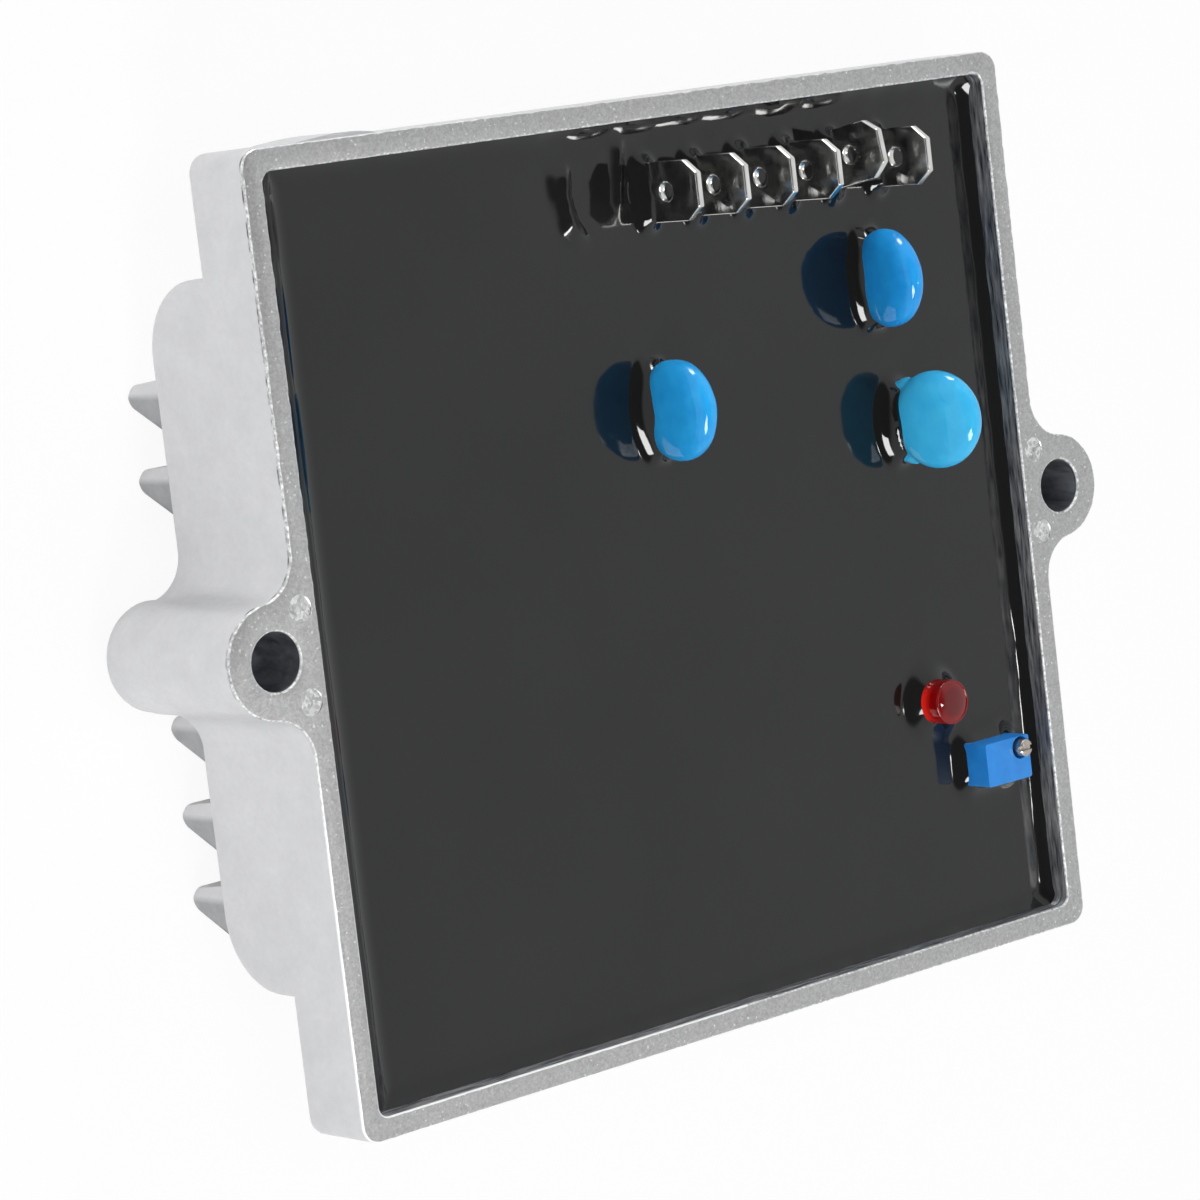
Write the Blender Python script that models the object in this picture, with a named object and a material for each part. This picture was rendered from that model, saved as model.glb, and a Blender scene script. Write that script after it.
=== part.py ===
"""A potted voltage regulator for a small generator.

A die-cast aluminium tray with two screw bosses and cooling fins holds a circuit board in black resin.
Six spade terminals, three disc varistors, a lamp and an adjusting trimmer stand out of the resin.
Metres throughout. The module lies on its fins: +X runs across it from lug to lug, +Y up it towards the
terminals, and +Z out of its potted face. The origin is under its middle, at the tips of the fins.
"""

import math

import bmesh
import bpy
from mathutils import Matrix

# The casting
tray_width = 0.104
tray_height = 0.098
tray_corner = 0.002
rim_depth = 0.0092
wall = 0.0023
inner_corner = 0.0012
body_depth = 0.0192
shallow_top = 0.0121
shallow_bottom = 0.0142
body_corner = 0.0077
body_edge = 0.0009
body_floor = 0.0025
fin_height = 0.0068
fin_pitch = 0.00845
fin_margin = 0.009
bare_fin_slots = (0, 1)
fin_tip_radius = 0.0013
fin_top_draft = math.radians(6)
fin_under_draft = math.radians(28)
fin_inset = 0.0008
fin_end_radius = 0.0016
hole_offset = 0.00325
hole_radius = 0.00295
lug_radius = 0.00575
lug_fillet = 0.0045
boss_length = 0.021
seat_step = 0.00015
seat_edge = 0.0006
gate_inset = 0.0073
gate_length = 0.0102
gate_height = 0.00045
gate_margin = 0.001
pedestal_margin = 0.0014

# The resin and the board: each pour hole has its side, its distance from that side's wall, and its y
potting_level = 0.003
resin_climb = 0.0008
resin_foot = 0.0012
board_cover = 0.0024
board_thickness = 0.0016
seat_gap = 0.0003
pour_radius = 0.003
pour_insets = ((-1, 0.0097, 0.008), (-1, 0.0417, -0.006), (1, 0.0227, 0.003), (1, 0.0077, -0.008))
lead_clearance = 0.0003
lead_short = 0.0001

# The spade terminals
terminal_width = 0.00635
terminal_thickness = 0.0008
terminal_reach = 0.0055
terminal_hole_radius = 0.001
terminal_hole_drop = 0.0048
terminal_chamfer = (0.0014, 0.0019)
terminal_pitch = 0.00669
terminal_count = 6
last_terminal_inset = 0.0149
terminal_row_inset = 0.00765
terminal_shoulder = 0.0009
terminal_leg_width = 0.0013
terminal_leg_spacing = 0.0042
leaning_terminal = 5
terminal_lean = math.radians(8.8)

# The varistors: distance from the right wall and from the upper one, height over the rim, lean towards +X
varistor_radius = 0.00535
varistor_thickness = 0.0040
varistor_round = 0.0015
varistor_lead_spacing = 0.0075
varistor_lead_radius = 0.0004
varistor_coat_radius = 0.00075
varistor_coat_drop = 0.0058
varistor_insets = (
    (0.0175, 0.0204, 0.0005, math.radians(-8)),
    (0.0138, 0.0363, 0.0022, math.radians(6)),
    (0.0502, 0.0301, 0.0007, 0.0),
)

# The lamp and the trimmer, each at its distance from the right wall and from the lower one
lamp_inset = (0.0152, 0.02595)
lamp_radius = 0.00245
lamp_reach = 0.0006
lamp_flange_radius = 0.0029
lamp_flange_height = 0.001
lamp_edge = 0.0004
lamp_lead_spacing = 0.00254
trimmer_inset = (0.0081, 0.01805)
trimmer_width = 0.0068
trimmer_height = 0.0048
trimmer_reach = 0.0010
trimmer_edge = 0.0002
trimmer_pin_pitch = 0.00254
screw_corner_inset = (0.0014, 0.0013)
screw_reach = 0.0020
screw_head_radius = 0.00095
screw_recess = 0.0008
screw_clearance = 0.00015
screw_shank_radius = 0.0006
screw_depth = 0.004
screw_slot_width = 0.0005
screw_slot_depth = 0.00045

# The parts under the board, in three rows. An inset is measured from the nearest wall.
thyristor_inset = 0.0257
diode_offset = 0.036
package_width = 0.0102
package_tab_length = 0.0064
package_tab_thickness = 0.0013
package_tab_inset = 0.0001
package_body_length = 0.0091
package_body_thickness = 0.0045
package_hole_inset = 0.0028
package_hole_radius = 0.0019
package_lead_pitch = 0.00254
package_lead_run = 0.003
package_lead_level = 0.0025
package_board_gap = 0.0012
pad_thickness = 0.0004
pad_margin = 0.0008
fixing_radius = 0.0015
fixing_head_radius = 0.0028
fixing_head_height = 0.0018
fixing_cover = 0.0018
bridge_plan = (0.019, 0.0145)
bridge_inset = (0.0042, 0.0247)
bridge_floor_gap = 0.0032
bridge_lead_pitch = 0.005
film_plan = (0.026, 0.009)
film_gap = 0.003
film_inset = 0.0227
film_floor_gap = 0.0009
film_lead_spacing = 0.0225
electrolytic_gap = 0.003
electrolytic_space = 0.0017
electrolytic_inset = 0.0237
electrolytic_floor_gap = 0.0012
electrolytic_length = 0.012
electrolytic_crimp = 0.0004
electrolytic_lead_spacing = 0.0035
electrolytic_lead_run = 0.002
upper_row_inset = 0.0187
resistor_inset = 0.0137
resistor_pitch = 0.023
resistor_radius = 0.00275
resistor_length = 0.016
resistor_lead_run = 0.0025
chip_offset = 0.0295
chip_size = (0.0096, 0.0064, 0.0034)
chip_pin_pitch = 0.00254
chip_pin_run = 0.0007
part_edge = 0.0004
under_board_gap = 0.0005
lead_width = 0.0007

# Heights and widths that follow from the sizes above
front = body_depth + fin_height
rim_back = front - rim_depth
body_back = fin_height
seat = front - boss_length
body_top = tray_height / 2 - shallow_top
body_bottom = shallow_bottom - tray_height / 2
hole_spacing = tray_width + 2 * hole_offset
resin_top = front - potting_level
board_front = resin_top - board_cover
board_back = board_front - board_thickness
board_middle = (board_front + board_back) / 2
shelf = board_back - seat_gap
deep_floor = body_back + body_floor
hang = board_back - under_board_gap
package_top = board_back - package_board_gap
package_bottom = package_top - package_body_thickness
pedestal_top = package_bottom - pad_thickness - 2 * seat_gap
fixing_bottom = body_back + fixing_cover
lead_top = board_front - lead_short
lead_bottom = board_back + lead_short
inner_half_x = tray_width / 2 - wall
inner_half_y = tray_height / 2 - wall
deep_half_x = inner_half_x - lead_short
overrun = 0.004

# Places over the board, from the tray's inner walls
first_terminal_x = inner_half_x - last_terminal_inset - (terminal_count - 1) * terminal_pitch
terminal_row = inner_half_y - terminal_row_inset
varistor_places = [
    (inner_half_x - right, inner_half_y - upper, height, lean)
    for right, upper, height, lean in varistor_insets
]
lamp_place = (inner_half_x - lamp_inset[0], lamp_inset[1] - inner_half_y)
trimmer_place = (inner_half_x - trimmer_inset[0], trimmer_inset[1] - inner_half_y)
pour_places = [(side * (inner_half_x - inset), y) for side, inset, y in pour_insets]

# The upper row under the board: two resistors and the control circuit
upper_row = inner_half_y - upper_row_inset
resistor_places = [(resistor_inset + step * resistor_pitch - inner_half_x, upper_row) for step in (0, 1)]
chip_place = (resistor_places[1][0] + chip_offset, upper_row)

# The lower row: the bridge, the film capacitor and the two electrolytic ones, hung over the floor
bridge_size = (*bridge_plan, hang - deep_floor - bridge_floor_gap)
bridge_place = (bridge_inset[0] + bridge_size[0] / 2 - inner_half_x, bridge_inset[1] - inner_half_y)
film_size = (*film_plan, hang - deep_floor - film_floor_gap)
film_place = (bridge_place[0] + (bridge_size[0] + film_size[0]) / 2 + film_gap, film_inset - inner_half_y)
electrolytic_radius = (hang - deep_floor - electrolytic_floor_gap) / 2
electrolytic_pitch = 2 * electrolytic_radius + electrolytic_space
first_can_x = film_place[0] + film_size[0] / 2 + electrolytic_gap + electrolytic_radius
can_row = electrolytic_inset - inner_half_y
electrolytic_places = [(first_can_x + step * electrolytic_pitch, can_row) for step in (0, 1)]

# The row between them: the two power parts, their whole length centred in the space that is left
package_reach = package_tab_length + package_body_length + package_lead_run + lead_width / 2
upper_row_edge = upper_row - chip_size[1] / 2 - chip_pin_run - lead_width / 2
lower_row_edge = bridge_place[1] + bridge_size[1] / 2
package_row = (upper_row_edge + lower_row_edge + package_reach) / 2 - package_hole_inset
thyristor_place = (thyristor_inset - inner_half_x, package_row)
diode_place = (thyristor_place[0] + diode_offset, package_row)


def finish(name, colour, roughness, metallic=0.0):
    """A plain Principled material."""
    made = bpy.data.materials.new(name)
    made.use_nodes = True
    shader = made.node_tree.nodes["Principled BSDF"]
    shader.inputs["Base Color"].default_value = (*colour, 1.0)
    shader.inputs["Roughness"].default_value = roughness
    shader.inputs["Metallic"].default_value = metallic
    return made


def solid(name, mesh, material, location=(0, 0, 0), rotation=(0, 0, 0)):
    """An object from a bmesh, with its faces pointing out, round parts smooth and true corners sharp."""
    bmesh.ops.recalc_face_normals(mesh, faces=mesh.faces)
    data = bpy.data.meshes.new(name)
    mesh.to_mesh(data)
    mesh.free()
    if material:
        data.materials.append(material)
    data.shade_smooth()
    data.set_sharp_from_angle(angle=math.radians(35))
    made = bpy.data.objects.new(name, data)
    made.location = location
    made.rotation_euler = rotation
    bpy.context.scene.collection.objects.link(made)
    return made


def tool(mesh, location=(0, 0, 0), rotation=(0, 0, 0)):
    """A solid that only cuts or adds to another one: it is drawn as wire and never rendered."""
    made = solid("tool", mesh, None, location, rotation)
    made.hide_render = True
    made.display_type = "WIRE"
    return made


def combine(target, operation, tools):
    """Joins the tools to the target, or cuts them out of it, in one Boolean."""
    group = bpy.data.collections.new(target.name + "_" + operation.lower())
    for shape in tools:
        group.objects.link(shape)
    step = target.modifiers.new(operation.lower(), "BOOLEAN")
    step.operation = operation
    step.operand_type = "COLLECTION"
    step.collection = group
    step.solver = "EXACT"
    return target


def settle(target):
    """Applies the modifiers, so that the next step finds the finished mesh."""
    bpy.context.view_layer.update()
    graph = bpy.context.evaluated_depsgraph_get()
    shape = bpy.data.meshes.new_from_object(target.evaluated_get(graph))
    target.modifiers.clear()
    target.data = shape


def soften(target, width, steps, wanted):
    """Rounds the convex edges that are wanted, on a settled mesh."""
    mesh = bmesh.new()
    mesh.from_mesh(target.data)
    edges = [edge for edge in mesh.edges if edge.is_convex and edge.calc_face_angle() > math.radians(50)]
    chosen = [edge for edge in edges if wanted(edge)]
    bmesh.ops.bevel(mesh, geom=chosen, offset=width, segments=steps, profile=0.5, affect="EDGES")
    mesh.to_mesh(target.data)
    mesh.free()


def arc(centre, radius, start, end, steps):
    """Points along an arc, both ends included. The angles are in degrees."""
    points = []
    for i in range(steps + 1):
        angle = math.radians(start + (end - start) * i / steps)
        points.append((centre[0] + radius * math.cos(angle), centre[1] + radius * math.sin(angle)))
    return points


def loft(rings):
    """A closed body through rings of points, each with as many points as the next."""
    mesh = bmesh.new()
    placed = [[mesh.verts.new(point) for point in ring] for ring in rings]
    mesh.faces.new(placed[0])
    mesh.faces.new(placed[-1])
    for ring, following in zip(placed, placed[1:]):
        for i in range(len(ring)):
            j = (i + 1) % len(ring)
            mesh.faces.new((ring[i], ring[j], following[j], following[i]))
    return mesh


def prism(outline, low, high, along="Z"):
    """An outline pushed from low to high, along Z for points (x, y) or along X for points (y, z)."""
    if along == "Z":
        return loft([[(a, b, level) for a, b in outline] for level in (low, high)])
    return loft([[(level, a, b) for a, b in outline] for level in (low, high)])


def box(low, high):
    """A box between two corners."""
    outline = ((low[0], low[1]), (high[0], low[1]), (high[0], high[1]), (low[0], high[1]))
    return prism(outline, low[2], high[2])


def block(size, edge):
    """A box with softened edges, standing on the origin."""
    mesh = box((-size[0] / 2, -size[1] / 2, 0), (size[0] / 2, size[1] / 2, size[2]))
    bmesh.ops.bevel(mesh, geom=mesh.edges[:], offset=edge, segments=1, affect="EDGES")
    return mesh


def turned(profile, steps=24):
    """A profile of (radius, height) points, from the axis at one end to the axis at the other, spun round."""
    mesh = bmesh.new()
    points = [mesh.verts.new((radius, 0, height)) for radius, height in profile]
    edges = [mesh.edges.new(pair) for pair in zip(points, points[1:])]
    bmesh.ops.spin(
        mesh,
        geom=points + edges,
        cent=(0, 0, 0),
        axis=(0, 0, 1),
        angle=2 * math.pi,
        steps=steps,
        use_merge=True,
    )
    bmesh.ops.remove_doubles(mesh, verts=mesh.verts, dist=1e-6)
    return mesh


def rod(radius, low, high, steps=12):
    """A plain round rod along Z."""
    return turned(((0, low), (radius, low), (radius, high), (0, high)), steps)


def moved(mesh, offset=(0, 0, 0), turn=0.0, axis="Z"):
    """The same mesh turned about an axis through the origin and then shifted."""
    matrix = Matrix.Translation(offset) @ Matrix.Rotation(turn, 4, axis)
    bmesh.ops.transform(mesh, matrix=matrix, verts=mesh.verts)
    return mesh


def straight_lead(place, level):
    """A round lead from a level inside a part up into the board."""
    return moved(rod(lead_width / 2, level, lead_top, 8), (*place, 0))


def bent_lead(place, level, run, turn=0.0):
    """A lead from a part at a level, bent up into the board. Unturned, the part is on its +Y side."""
    half = lead_width / 2
    inside = run + 2 * part_edge
    outline = [(-half, lead_top)] + arc((half, level + half), lead_width, 180, 270, 3)
    outline += [(inside, level - half), (inside, level + half), (half, level + half), (half, lead_top)]
    return moved(prism(outline, -half, half, along="X"), (*place, 0), turn)


def rounded_corners(half_x, half_y, radius, steps):
    """The four round corners of a rectangle about the origin, in order, starting at the upper right."""
    corners = []
    for sign_x, sign_y, start in ((1, 1, 0), (-1, 1, 90), (-1, -1, 180), (1, -1, 270)):
        centre = (sign_x * (half_x - radius), sign_y * (half_y - radius))
        corners.append(arc(centre, radius, start, start + 90, steps))
    return corners


def rounded_rectangle(half_x, half_y, radius):
    """The outline of a rectangle about the origin with round corners."""
    return sum(rounded_corners(half_x, half_y, radius, 3), [])


def lug_outline():
    """The right lug from the front: a round end that runs into the tray's side with two hollow fillets."""
    fillet_x = tray_width / 2 + lug_fillet
    lug_x = hole_spacing / 2
    fillet_y = math.sqrt((lug_radius + lug_fillet) ** 2 - (fillet_x - lug_x) ** 2)
    turn = math.degrees(math.atan2(fillet_y, fillet_x - lug_x))
    lower = arc((fillet_x, -fillet_y), lug_fillet, 180, 180 - turn, 4)
    end = arc((lug_x, 0), lug_radius, -turn, turn, 14)
    upper = arc((fillet_x, fillet_y), lug_fillet, 180 + turn, 180, 4)
    return lower + end[1:-1] + upper


def casting_outline():
    """The casting from the front: the tray's rounded rectangle with a lug on each side."""
    corners = rounded_corners(tray_width / 2, tray_height / 2, tray_corner, 3)
    right_lug = lug_outline()
    left_lug = [(-x, -y) for x, y in right_lug]
    return corners[0] + corners[1] + left_lug + corners[2] + corners[3] + right_lug


def deep_outline(inset, back, level):
    """The deep middle from the side, between its flat back and a level. It can be inset."""
    radius = body_corner - inset
    top = body_top - inset
    bottom = body_bottom + inset
    outline = [(top, level)] + arc((top - radius, back + radius), radius, 0, -90, 5)
    return outline + arc((bottom + radius, back + radius), radius, -90, -180, 5) + [(bottom, level)]


def casting_side():
    """The casting from the side: shallow at its two ends and deep in the middle."""
    past = tray_height / 2 + overrun
    middle = deep_outline(0, body_back, rim_back)
    return [(past, front), (past, rim_back)] + middle + [(-past, rim_back), (-past, front)]


def fin_section(y, lift):
    """A fin's section: steep on top, sloped underneath, and round at the tip, which can be lifted."""
    start = -math.degrees(fin_top_draft)
    end = math.degrees(fin_under_draft) - 180
    tip = arc((y, fin_tip_radius + lift), fin_tip_radius, start, end, 5)
    root = body_back + body_floor / 2
    top = (tip[0][0] + (root - tip[0][1]) * math.tan(fin_top_draft), root)
    under = (tip[-1][0] - (root - tip[-1][1]) * math.tan(fin_under_draft), root)
    return [top] + tip + [under]


def fin_slots():
    """The slots on the flat of the deep middle that have a fin, counted from the tray's middle."""
    lowest = math.ceil((body_bottom + fin_margin) / fin_pitch)
    highest = math.floor((body_top - fin_margin) / fin_pitch)
    return [slot for slot in range(lowest, highest + 1) if slot not in bare_fin_slots]


def fin(slot):
    """A cooling fin across the back, its ends rounded off."""
    stations = []
    for i in range(4):
        angle = math.radians(25 * i)
        reach = tray_width / 2 - fin_inset - fin_end_radius * (1 - math.sin(angle))
        stations.append((reach, fin_end_radius * (1 - math.cos(angle))))
    along = [(-x, lift) for x, lift in reversed(stations)] + stations
    return loft([[(x, y, z) for y, z in fin_section(slot * fin_pitch, lift)] for x, lift in along])


def gate_mark():
    """The stub that is left on the rim's upper side where the metal came in."""
    side = tray_height / 2
    left = gate_inset - tray_width / 2
    right = left + gate_length
    outline = [(left, side)]
    for along, up in ((0.15, 0.4), (0.6, 1.0), (0.85, 0.9)):
        outline.append((left + along * gate_length, side + up * gate_height))
    outline += [(right, side), (right, side - wall / 2), (left, side - wall / 2)]
    return prism(outline, rim_back + gate_margin, front - gate_margin)


def boss_end(side):
    """The round seat that stands back from the body behind each screw hole."""
    radius = lug_radius - seat_step
    inside = rim_back - rim_depth / 4
    profile = [(0, seat), (radius - seat_edge, seat), (radius, seat + seat_edge)]
    profile += [(radius, inside), (0, inside)]
    return moved(turned(profile, 28), (side * hole_spacing / 2, 0, 0))


def pedestal(place):
    """A flat pad on the floor that a power part is screwed to."""
    low, high = package_rectangle(place, pedestal_margin)
    return box((*low, deep_floor - body_floor / 2), (*high, pedestal_top))


def fixing_hole(place):
    """The blind hole in a pedestal for its screw."""
    return moved(rod(fixing_radius + lead_clearance, fixing_bottom, pedestal_top + overrun), (*place, 0))


def make_housing(material):
    """The die casting: a plan and a side outline intersected, then bosses, fins and cavities."""
    housing = solid("housing", prism(casting_outline(), 0, front + overrun), material)
    combine(housing, "INTERSECT", [tool(prism(casting_side(), -hole_spacing, hole_spacing, along="X"))])
    settle(housing)
    soften(housing, body_edge, 2, lambda edge: max(vert.co.z for vert in edge.verts) < rim_back + seat_gap)
    combine(housing, "UNION", [tool(boss_end(side)) for side in (-1, 1)])
    combine(housing, "UNION", [tool(fin(slot)) for slot in fin_slots()] + [tool(gate_mark())])
    recess = prism(rounded_rectangle(inner_half_x, inner_half_y, inner_corner), shelf, front + overrun)
    hollow = prism(deep_outline(wall, deep_floor, shelf + seat_gap), -deep_half_x, deep_half_x, along="X")
    cuts = [tool(recess), tool(hollow)]
    for side in (-1, 1):
        bore = rod(hole_radius, seat - overrun, front + overrun, 32)
        cuts.append(tool(moved(bore, (side * hole_spacing / 2, 0, 0))))
    combine(housing, "DIFFERENCE", cuts)
    combine(housing, "UNION", [tool(pedestal(place)) for place in (thyristor_place, diode_place)])
    combine(housing, "DIFFERENCE", [tool(fixing_hole(place)) for place in (thyristor_place, diode_place)])


def varistor_foot(place):
    """Where the middle of a varistor meets the board, below its leaning body."""
    x, y, height, lean = place
    return (x - (front + height - board_middle) * math.tan(lean), y)


def varistor_leads(place):
    """The two leads of a varistor."""
    x, y = varistor_foot(place)
    return [(x, y + side * varistor_lead_spacing / 2) for side in (-1, 1)]


def lamp_leads():
    """The two leads of the lamp."""
    return [(lamp_place[0] + side * lamp_lead_spacing / 2, lamp_place[1]) for side in (-1, 1)]


def trimmer_pins():
    """The three pins of the trimmer, in a row along its length."""
    return [(trimmer_place[0] + step * trimmer_pin_pitch, trimmer_place[1]) for step in (-1, 0, 1)]


def package_leads(place, columns):
    """The leads of a power part, below its body."""
    y = place[1] + package_hole_inset - package_tab_length - package_body_length - package_lead_run
    return [(place[0] + column * package_lead_pitch, y) for column in columns]


def bridge_leads():
    """The four leads of the rectifier bridge, in one row."""
    return [(bridge_place[0] + (step - 1.5) * bridge_lead_pitch, bridge_place[1]) for step in range(4)]


def film_leads():
    """The two leads of the film capacitor."""
    return [(film_place[0] + side * film_lead_spacing / 2, film_place[1]) for side in (-1, 1)]


def electrolytic_leads(place):
    """The two leads of an electrolytic capacitor, above its crimped end."""
    y = place[1] + electrolytic_length / 2 + electrolytic_lead_run
    return [(place[0] + side * electrolytic_lead_spacing / 2, y) for side in (-1, 1)]


def resistor_leads(place):
    """The lead at each end of a power resistor."""
    reach = resistor_length / 2 + resistor_lead_run
    return [(place[0] + side * reach, place[1]) for side in (-1, 1)]


def chip_pins(side):
    """The pins along one long side of the control circuit."""
    y = chip_place[1] + side * (chip_size[1] / 2 + chip_pin_run)
    return [(chip_place[0] + (step - 1.5) * chip_pin_pitch, y) for step in range(4)]


def all_leads():
    """Every lead that goes into the board, apart from the terminals' legs."""
    leads = lamp_leads() + trimmer_pins() + bridge_leads() + film_leads() + chip_pins(-1) + chip_pins(1)
    leads += package_leads(thyristor_place, (-1, 0, 1)) + package_leads(diode_place, (-1, 1))
    for place in varistor_places:
        leads += varistor_leads(place)
    for place in electrolytic_places:
        leads += electrolytic_leads(place)
    for place in resistor_places:
        leads += resistor_leads(place)
    return leads


def terminal_place(number):
    """The middle of a terminal in the board."""
    return (first_terminal_x + (number - 1) * terminal_pitch, terminal_row)


def terminal_tilt(number):
    """The lean of a terminal towards +Y."""
    return terminal_lean if number == leaning_terminal else 0.0


def make_board(material):
    """The circuit board, with a hole for every lead and four larger ones that the resin is poured through."""
    outline = rounded_rectangle(inner_half_x - seat_gap, inner_half_y - seat_gap, inner_corner - seat_gap)
    board = solid("circuit_board", prism(outline, board_back, board_front), material)
    low = board_back - overrun
    high = board_front + overrun
    radius = lead_width / math.sqrt(2) + lead_clearance
    holes = [tool(moved(rod(pour_radius, low, high, 20), (*place, 0))) for place in pour_places]
    holes += [tool(moved(rod(radius, low, high, 8), (*place, 0))) for place in all_leads()]
    half_x = terminal_thickness / 2 + lead_clearance
    half_y = terminal_leg_width / 2 + lead_clearance
    for number in range(1, terminal_count + 1):
        x, y = terminal_place(number)
        for side in (-1, 1):
            middle = y + side * terminal_leg_spacing / 2
            holes.append(tool(box((x - half_x, middle - half_y, low), (x + half_x, middle + half_y, high))))
    combine(board, "DIFFERENCE", holes)


def terminal_outline():
    """A spade terminal seen flat: a chamfered tab above, and two solder legs below."""
    half = terminal_width / 2
    tip = front + terminal_reach
    bottom = board_front + terminal_shoulder
    chamfer_y, chamfer_z = terminal_chamfer
    leg_in = (terminal_leg_spacing - terminal_leg_width) / 2
    leg_out = (terminal_leg_spacing + terminal_leg_width) / 2
    right = [(leg_in, bottom), (leg_in, lead_bottom), (leg_out, lead_bottom), (leg_out, bottom)]
    right += [(half, bottom), (half, tip - chamfer_z), (half - chamfer_y, tip)]
    return right + [(-y, z) for y, z in reversed(right)]


def make_terminal(number, material):
    """One spade terminal. Its blade leans from the board up, and its legs stay upright in their slots."""
    x, y = terminal_place(number)
    tilt = terminal_tilt(number)
    mesh = prism(terminal_outline(), -terminal_thickness / 2, terminal_thickness / 2, along="X")
    blade = [vert for vert in mesh.verts if vert.co.z > board_front]
    pivot = Matrix.Translation((0, 0, board_front))
    bmesh.ops.transform(mesh, matrix=pivot @ Matrix.Rotation(-tilt, 4, "X") @ pivot.inverted(), verts=blade)
    terminal = solid("spade_terminal_" + str(number), mesh, material, (x, y, 0))
    rise = front + terminal_reach - terminal_hole_drop - board_front
    centre = (x, y + rise * math.sin(tilt), board_front + rise * math.cos(tilt))
    hole = moved(rod(terminal_hole_radius, -terminal_width, terminal_width, 16), turn=math.pi / 2, axis="Y")
    combine(terminal, "DIFFERENCE", [tool(hole, centre)])


def terminal_slot(number):
    """The room that a terminal's blade takes in the resin."""
    half_x = terminal_thickness / 2 + seat_gap
    half_y = terminal_width / 2 + seat_gap
    mesh = box((-half_x, -half_y, -board_thickness), (half_x, half_y, board_cover + overrun))
    return tool(mesh, (*terminal_place(number), board_front), (-terminal_tilt(number), 0, 0))


def varistor_disc(rise, grow=0.0):
    """A coated disc on edge with a round edge, its middle at a rise above the origin."""
    radius = varistor_radius + grow
    half = varistor_thickness / 2 + grow
    rounding = varistor_round + grow
    edge = arc((radius - rounding, half - rounding), rounding, 90, 0, 3)
    edge += [(r, -z) for r, z in reversed(edge)]
    return moved(turned([(0, half)] + edge + [(0, -half)], 28), (0, 0, rise), math.pi / 2, "Y")


def varistor_stance(place):
    """Where a varistor's lean turns, how far it leans, and the rise of its middle from there."""
    rise = (front + place[2] - board_middle) / math.cos(place[3])
    return (*varistor_foot(place), board_middle), (0, place[3], 0), rise


def make_varistor(number, place, material):
    """A disc varistor on its two leads. The coating runs down the first stretch of each lead."""
    location, rotation, rise = varistor_stance(place)
    body = solid("disc_varistor_" + str(number), varistor_disc(rise), material, location, rotation)
    coat_bottom = rise - varistor_coat_drop
    coat_edge = rise - varistor_radius + varistor_round
    coat = ((0, coat_bottom), (varistor_lead_radius, coat_bottom), (varistor_coat_radius, coat_edge))
    coat += ((varistor_coat_radius, rise), (0, rise))
    legs = []
    for side in (-1, 1):
        offset = (0, side * varistor_lead_spacing / 2, 0)
        lead = rod(varistor_lead_radius, lead_bottom - board_middle, rise - varistor_thickness / 2, 10)
        legs += [tool(moved(shape, offset), location, rotation) for shape in (turned(coat, 10), lead)]
    combine(body, "UNION", legs)


def varistor_pocket(place):
    """The room that a varistor and its coated leads take in the resin."""
    location, rotation, rise = varistor_stance(place)
    shapes = [tool(varistor_disc(rise, seat_gap), location, rotation)]
    for side in (-1, 1):
        room = rod(varistor_coat_radius + seat_gap, 0, rise, 10)
        shapes.append(tool(moved(room, (0, side * varistor_lead_spacing / 2, 0)), location, rotation))
    return shapes


def make_lamp(material):
    """The indicator lamp: a round body with a flat top and a wider foot, on two leads."""
    foot = board_front + seat_gap
    top = front + lamp_reach
    profile = [(0, foot), (lamp_flange_radius, foot), (lamp_flange_radius, foot + lamp_flange_height)]
    profile += [(lamp_radius, foot + lamp_flange_height)]
    profile += arc((lamp_radius - lamp_edge, top - lamp_edge), lamp_edge, 0, 90, 3) + [(0, top)]
    lamp = solid("indicator_led", moved(turned(profile, 28), (*lamp_place, 0)), material)
    high = foot + lamp_flange_height / 2
    leads = [moved(rod(lead_width / 2, lead_bottom, high, 8), (*place, 0)) for place in lamp_leads()]
    combine(lamp, "UNION", [tool(lead) for lead in leads])


def lamp_pocket():
    """The room that the lamp takes in the resin: wide at its foot, then close round the body."""
    wide = lamp_flange_radius + seat_gap
    close = lamp_radius + seat_gap
    step = board_front + lamp_flange_height + 2 * seat_gap
    profile = ((0, board_back), (wide, board_back), (wide, step), (close, step), (close, front), (0, front))
    return tool(moved(turned(profile, 28), (*lamp_place, 0)))


def screw_place():
    """The trimmer's screw, at the upper right corner of its case."""
    x = trimmer_place[0] + trimmer_width / 2 - screw_corner_inset[0]
    return (x, trimmer_place[1] + trimmer_height / 2 - screw_corner_inset[1])


def make_trimmer(material):
    """The trimmer's case, with a stepped blind hole for the screw and three pins."""
    foot = board_front + seat_gap
    top = front + trimmer_reach
    mesh = moved(block((trimmer_width, trimmer_height, top - foot), trimmer_edge), (*trimmer_place, foot))
    case = solid("trimmer_case", mesh, material)
    inside = foot + 2 * trimmer_edge
    pins = [moved(rod(lead_width / 2, lead_bottom, inside, 8), (*place, 0)) for place in trimmer_pins()]
    combine(case, "UNION", [tool(pin) for pin in pins])
    wide = screw_head_radius + screw_clearance
    narrow = screw_shank_radius + seat_gap
    floor = top - screw_depth - seat_gap
    step = top - screw_recess
    past = top + overrun
    profile = ((0, floor), (narrow, floor), (narrow, step), (wide, step), (wide, past), (0, past))
    combine(case, "DIFFERENCE", [tool(moved(turned(profile, 20), (*screw_place(), 0)))])


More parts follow.
